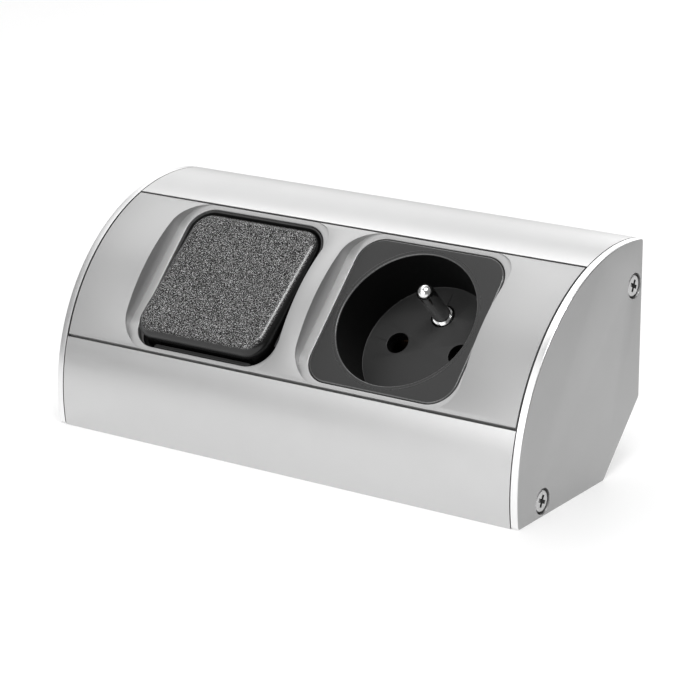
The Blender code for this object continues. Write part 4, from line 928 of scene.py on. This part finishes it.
def hook_mesh(centre_u, turn):
    """A snap hook under the panel that holds one side of a module's flange."""
    inner = HOOK_U - HOOK_REACH
    outline = [
        (HOOK_U, -PLATE + OVERLAP),
        (HOOK_U, HOOK_CATCH),
        (inner, HOOK_CATCH),
        (HOOK_U, HOOK_BOTTOM),
        (HOOK_U + HOOK_THICK, HOOK_BOTTOM),
        (HOOK_U + HOOK_THICK, -PLATE + OVERLAP),
    ]
    mesh = outline_mesh(outline, -HOOK_HALF_V, HOOK_HALF_V)
    mesh.transform(Matrix.Rotation(math.pi / 2, 4, "X"))
    if turn < 0:
        mesh.transform(Matrix.Rotation(math.pi, 4, "Z"))
    return placed(mesh, Matrix.Translation((centre_u, 0.0, FLOOR_W)))


# ---------------------------------------------------------------- switch

def flange_mesh():
    low = (-FLANGE_HALF_U, -FLANGE_HALF_V, FLANGE_BOTTOM)
    return box_mesh(low, (FLANGE_HALF_U, FLANGE_HALF_V, FLANGE_TOP))


def make_switch_surround():
    stops = [(0.0, FRAME_BOTTOM)] + rim(SHARP_EDGE, FRAME_TOP, 3)
    plate = block_mesh(MODULE_HALF_U, MODULE_HALF_V, MODULE_CORNER, stops)
    surround = add_piece("switch_surround", plate)
    stops = ((0.0, FRAME_BOTTOM), (0.0, FLANGE_TOP))
    wall = block_mesh(FRAME_WALL_U, MODULE_HALF_V - HAIR, MODULE_CORNER, stops)
    join(surround, wall, flange_mesh())
    stops = [(0.0, FRAME_BOTTOM - OVERSHOOT)] + mouth(FRAME_OPEN_EDGE, FRAME_TOP, 3)
    cut(surround, block_mesh(FRAME_OPEN_U, FRAME_OPEN_V, FRAME_OPEN_CORNER, stops))
    low = (LIP_LOW_U, -MODULE_HALF_V + OVERLAP, FRAME_TOP - LIP_THICK)
    join(surround, box_mesh(low, (LIP_HIGH_U, -LIP_V, FRAME_TOP - HAIR)))
    for turn in (-1, 1):
        ends = sorted((NOTCH_U[turn > 0], turn * (MODULE_HALF_U + OVERSHOOT)))
        low = (ends[0], -MODULE_HALF_V - OVERSHOOT, FRAME_TOP - NOTCH_DEPTH)
        notch = box_mesh(low, (ends[1], -MODULE_HALF_V + MODULE_CORNER, OVERSHOOT))
        cut(surround, notch)
    finish(surround, TO_SWITCH, "body", SATIN_BLACK, ["switch_frame"])


def make_rocker():
    stops = [(ROCKER_DRAFT + ROCKER_LIP, ROCKER_SKIRT), (ROCKER_DRAFT, ROCKER_SKIRT + ROCKER_LIP)]
    stops += rim(ROCKER_EDGE, ROCKER_TOP, 14)
    block = block_mesh(ROCKER_HALF_U, ROCKER_HALF_V, ROCKER_CORNER, stops, 20)
    rocker = add_piece("rocker_button", block)
    low = ROCKER_SKIRT - OVERSHOOT
    stops = ((0.0, low), (0.0, ROCKER_TOP - ROCKER_EDGE))
    inner = [size - ROCKER_WALL for size in (ROCKER_HALF_U, ROCKER_HALF_V, ROCKER_CORNER)]
    cut(rocker, block_mesh(*inner, stops))
    stops = ((0.0, low), (0.0, ROCKER_TOP - ROCKER_WALL))
    inner = [size - ROCKER_EDGE for size in (ROCKER_HALF_U, ROCKER_HALF_V, ROCKER_CORNER)]
    cut(rocker, block_mesh(*inner, stops))
    finish(rocker, TO_ROCKER, "rocker", GRAINED_BLACK, ["rocker_cap"])


def make_spring():
    """The coil in the rocker's hub. The plunger presses on its lower end; the coil moves with the
    rocker as one piece.
    """
    turned = 2 * math.pi * SPRING_TURNS
    count = SPRING_TURNS * SPRING_SIDES
    rise = SPRING_HIGH - SPRING_LOW
    slope = math.atan2(rise, turned * SPRING_RADIUS)
    angles = [2 * math.pi * k / WIRE_SIDES for k in range(WIRE_SIDES)]
    rings = []
    for i in range(count + 1):
        turn = turned * i / count
        out = Vector((math.cos(turn), math.sin(turn), 0.0))
        ahead = Vector((-math.sin(turn), math.cos(turn), 0.0)) * math.cos(slope)
        up = out.cross(ahead + Vector((0.0, 0.0, math.sin(slope))))
        middle = out * SPRING_RADIUS + Vector((0.0, 0.0, SPRING_LOW + rise * i / count))
        around = [(out * math.cos(a) + up * math.sin(a)) * SPRING_WIRE for a in angles]
        rings.append([middle + spot for spot in around])
    spring = add_piece("contact_spring", loft_mesh(rings))
    finish(spring, TO_ROCKER, "rocker", ZINC, ["plunger_spring"])
    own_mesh(spring)


# ---------------------------------------------------------------- socket

def make_socket_face():
    stops = [(0.0, FLANGE_BOTTOM + HAIR)] + rim(FACE_EDGE, 0.0, 6)
    block = block_mesh(MODULE_HALF_U, MODULE_HALF_V, MODULE_CORNER, stops, 20)
    face = add_piece("socket_face", block)
    join(face, flange_mesh())
    cup_low = -RECESS_DEPTH - CUP_FLOOR
    cup = [
        (0.0, -PLATE),
        (RECESS_MOUTH + CUP_WALL, -PLATE),
        (RECESS_BOTTOM + CUP_WALL, cup_low + CUP_CHAMFER),
        (RECESS_BOTTOM + CUP_WALL - CUP_CHAMFER, cup_low),
        (0.0, cup_low),
    ]
    join(face, turned_mesh(cup, ROUND_SIDES))
    edge = [(RECESS_MOUTH - inset, height) for inset, height in mouth(MOUTH_ROUND, 0.0, 6)]
    root = rim(RECESS_ROOT, -RECESS_DEPTH, 5)
    bottom = [(RECESS_BOTTOM - inset, -RECESS_DEPTH * 2 - height) for inset, height in root]
    recess = [(0.0, OVERSHOOT)] + edge[::-1] + bottom + [(0.0, -RECESS_DEPTH)]
    cut(face, turned_mesh(recess, ROUND_SIDES))
    holes = (
        (PIN_HOLE_RADIUS, -PIN_HOLE_U, 0.0),
        (PIN_HOLE_RADIUS, PIN_HOLE_U, 0.0),
        (EARTH_HOLE_RADIUS, 0.0, EARTH_V),
    )
    for radius, u, v in holes:
        stops = [(0.0, cup_low - OVERSHOOT)] + mouth(HOLE_EDGE, -RECESS_DEPTH, 4)
        profile = [(radius - inset, height) for inset, height in stops]
        profile = [(0.0, profile[0][1])] + profile + [(0.0, profile[-1][1])]
        cut(face, placed(turned_mesh(profile), Matrix.Translation((u, v, 0.0))))
    ring = [
        (RING_RADIUS + RING_DEPTH, OVERSHOOT),
        (RING_RADIUS + RING_DEPTH, 0.0),
        (RING_RADIUS + RING_DEPTH / 3, -RING_DEPTH),
        (RING_RADIUS - RING_DEPTH / 3, -RING_DEPTH),
        (RING_RADIUS - RING_DEPTH, 0.0),
        (RING_RADIUS - RING_DEPTH, OVERSHOOT),
    ]
    cut(face, turned_mesh(ring, ROUND_SIDES, closed=True))
    blacks = (SATIN_BLACK, RECESS_SHADE_BLACK, EDGE_HIGHLIGHT_BLACK)
    finish(face, Matrix.Identity(4), "body", blacks, ["socket_faceplate"])
    for side in face.data.polygons:
        level = side.center.z
        inside = math.hypot(side.center.x, side.center.y) < RECESS_MOUTH + 0.05 * MM
        on_wall = -RECESS_DEPTH < level < -MOUTH_ROUND and abs(side.normal.z) < 0.5
        in_hole = level < -RECESS_DEPTH - 0.1 * MM
        # The recess wall and the pin holes take the darker black: painted shade
        if inside and (on_wall or in_hole):
            side.material_index = blacks.index(RECESS_SHADE_BLACK)
        # The face's rounded outer edge takes the lighter black: painted highlight
        elif level > -FACE_EDGE and 0.1 < side.normal.z < 0.95:
            side.material_index = blacks.index(EDGE_HIGHLIGHT_BLACK)
    face.data.transform(TO_SOCKET)


def make_earth_pin():
    dome = EARTH_PIN_RADIUS
    profile = [(0.0, EARTH_PIN_TIP)]
    for i in range(1, 17):
        angle = math.pi / 2 * (1 - i / 16)
        profile.append((dome * math.cos(angle), EARTH_PIN_TIP - dome + dome * math.sin(angle)))
    profile += [
        (EARTH_PIN_RADIUS, EARTH_COLLAR_TOP),
        (EARTH_COLLAR_RADIUS - EARTH_EDGE, EARTH_COLLAR_TOP),
        (EARTH_COLLAR_RADIUS, EARTH_COLLAR_TOP - EARTH_EDGE),
        (EARTH_COLLAR_RADIUS, EARTH_COLLAR_BOTTOM),
        (EARTH_SPIGOT_RADIUS, EARTH_COLLAR_BOTTOM),
        (EARTH_SPIGOT_RADIUS, EARTH_SPIGOT_END + EARTH_EDGE),
        (EARTH_SPIGOT_RADIUS - EARTH_EDGE, EARTH_SPIGOT_END),
        (0.0, EARTH_SPIGOT_END),
    ]
    pin = add_piece("earth_contact_pin", turned_mesh(profile, 64))
    place = TO_SOCKET @ Matrix.Translation((0.0, EARTH_V, 0.0))
    finish(pin, place, "body", NICKEL, ["earth_pin"])


# ---------------------------------------------------------------- studio

def make_floor():
    """A plain pale table top, lit a little from within so that it stays light under the object."""
    shape = bmesh.new()
    bmesh.ops.create_grid(shape, x_segments=1, y_segments=1, size=FLOOR_HALF)
    mesh = bpy.data.meshes.new("floor")
    shape.to_mesh(mesh)
    shape.free()
    mesh.transform(Matrix.Translation((0.0, 0.0, CAD_LOW.z)))
    floor = add_piece("floor", mesh)
    s = Surface("table", 0.6, Emission_Strength=FLOOR_GLOW)
    s.paint(s.mixed(s.noise(0.3, 2.0), 0.50, 0.52))
    s.shader.inputs["Emission Color"].default_value = (1.0, 1.0, 1.0, 1.0)
    mesh.materials.append(s.material)


def make_softbox(name, toward, distance, size, radiance):
    """A rectangular light that looks at the object from a direction."""
    data = bpy.data.lights.new(name, "AREA")
    data.shape = "RECTANGLE"
    data.size, data.size_y = size
    data.energy = 4 * size[0] * size[1] * radiance
    lamp = bpy.data.objects.new(name, data)
    direction = Vector(toward).normalized()
    lamp.location = VIEW_TARGET + direction * distance
    lamp.rotation_euler = direction.to_track_quat("Z", "Y").to_euler()
    bpy.context.scene.collection.objects.link(lamp)


def make_studio():
    world = bpy.data.worlds.new("studio")
    world.use_nodes = True
    light = world.node_tree.nodes["Background"]
    light.inputs["Color"].default_value = (1.0, 1.0, 1.0, 1.0)
    light.inputs["Strength"].default_value = WORLD_LIGHT
    bpy.context.scene.world = world
    for softbox in SOFTBOXES:
        make_softbox(*softbox)
    bpy.context.scene.view_settings.view_transform = "Standard"


def make_camera():
    data = bpy.data.cameras.new("camera")
    data.lens = LENS
    data.sensor_width = 36.0
    data.clip_start = 0.01
    camera = bpy.data.objects.new("camera", data)
    flat = math.cos(VIEW_ELEVATION)
    right, front = math.sin(VIEW_AZIMUTH) * flat, math.cos(VIEW_AZIMUTH) * flat
    back = Vector((right, -front, math.sin(VIEW_ELEVATION)))
    camera.location = VIEW_TARGET + back * VIEW_DISTANCE
    turn = back.to_track_quat("Z", "Y").to_matrix() @ Matrix.Rotation(VIEW_ROLL, 3, "Z")
    camera.rotation_euler = turn.to_euler()
    bpy.context.scene.collection.objects.link(camera)
    bpy.context.scene.camera = camera


# ---------------------------------------------------------------- the whole scene

for node_name, node_material in KEPT_NODES.items():
    node_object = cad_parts[node_name]
    node_object.data.materials.clear()
    node_object.data.materials.append(node_material)

make_housing()
make_panel()
make_end_cap("left_cap_plate", -1, "left_end_cap")
make_end_cap("right_cap_plate", 1, "right_end_cap")
for end_name, end_side in (("left", -1), ("right", 1)):
    for row_name, row_side in (("upper", 1), ("lower", -1)):
        which = f"{end_name}_{row_name}"
        make_cap_screw(f"{which}_screw", end_side, row_side, f"{which}_cap_screw")
make_grommet()
make_switch_surround()
make_rocker()
make_spring()
make_socket_face()
make_earth_pin()
make_floor()
make_studio()
make_camera()
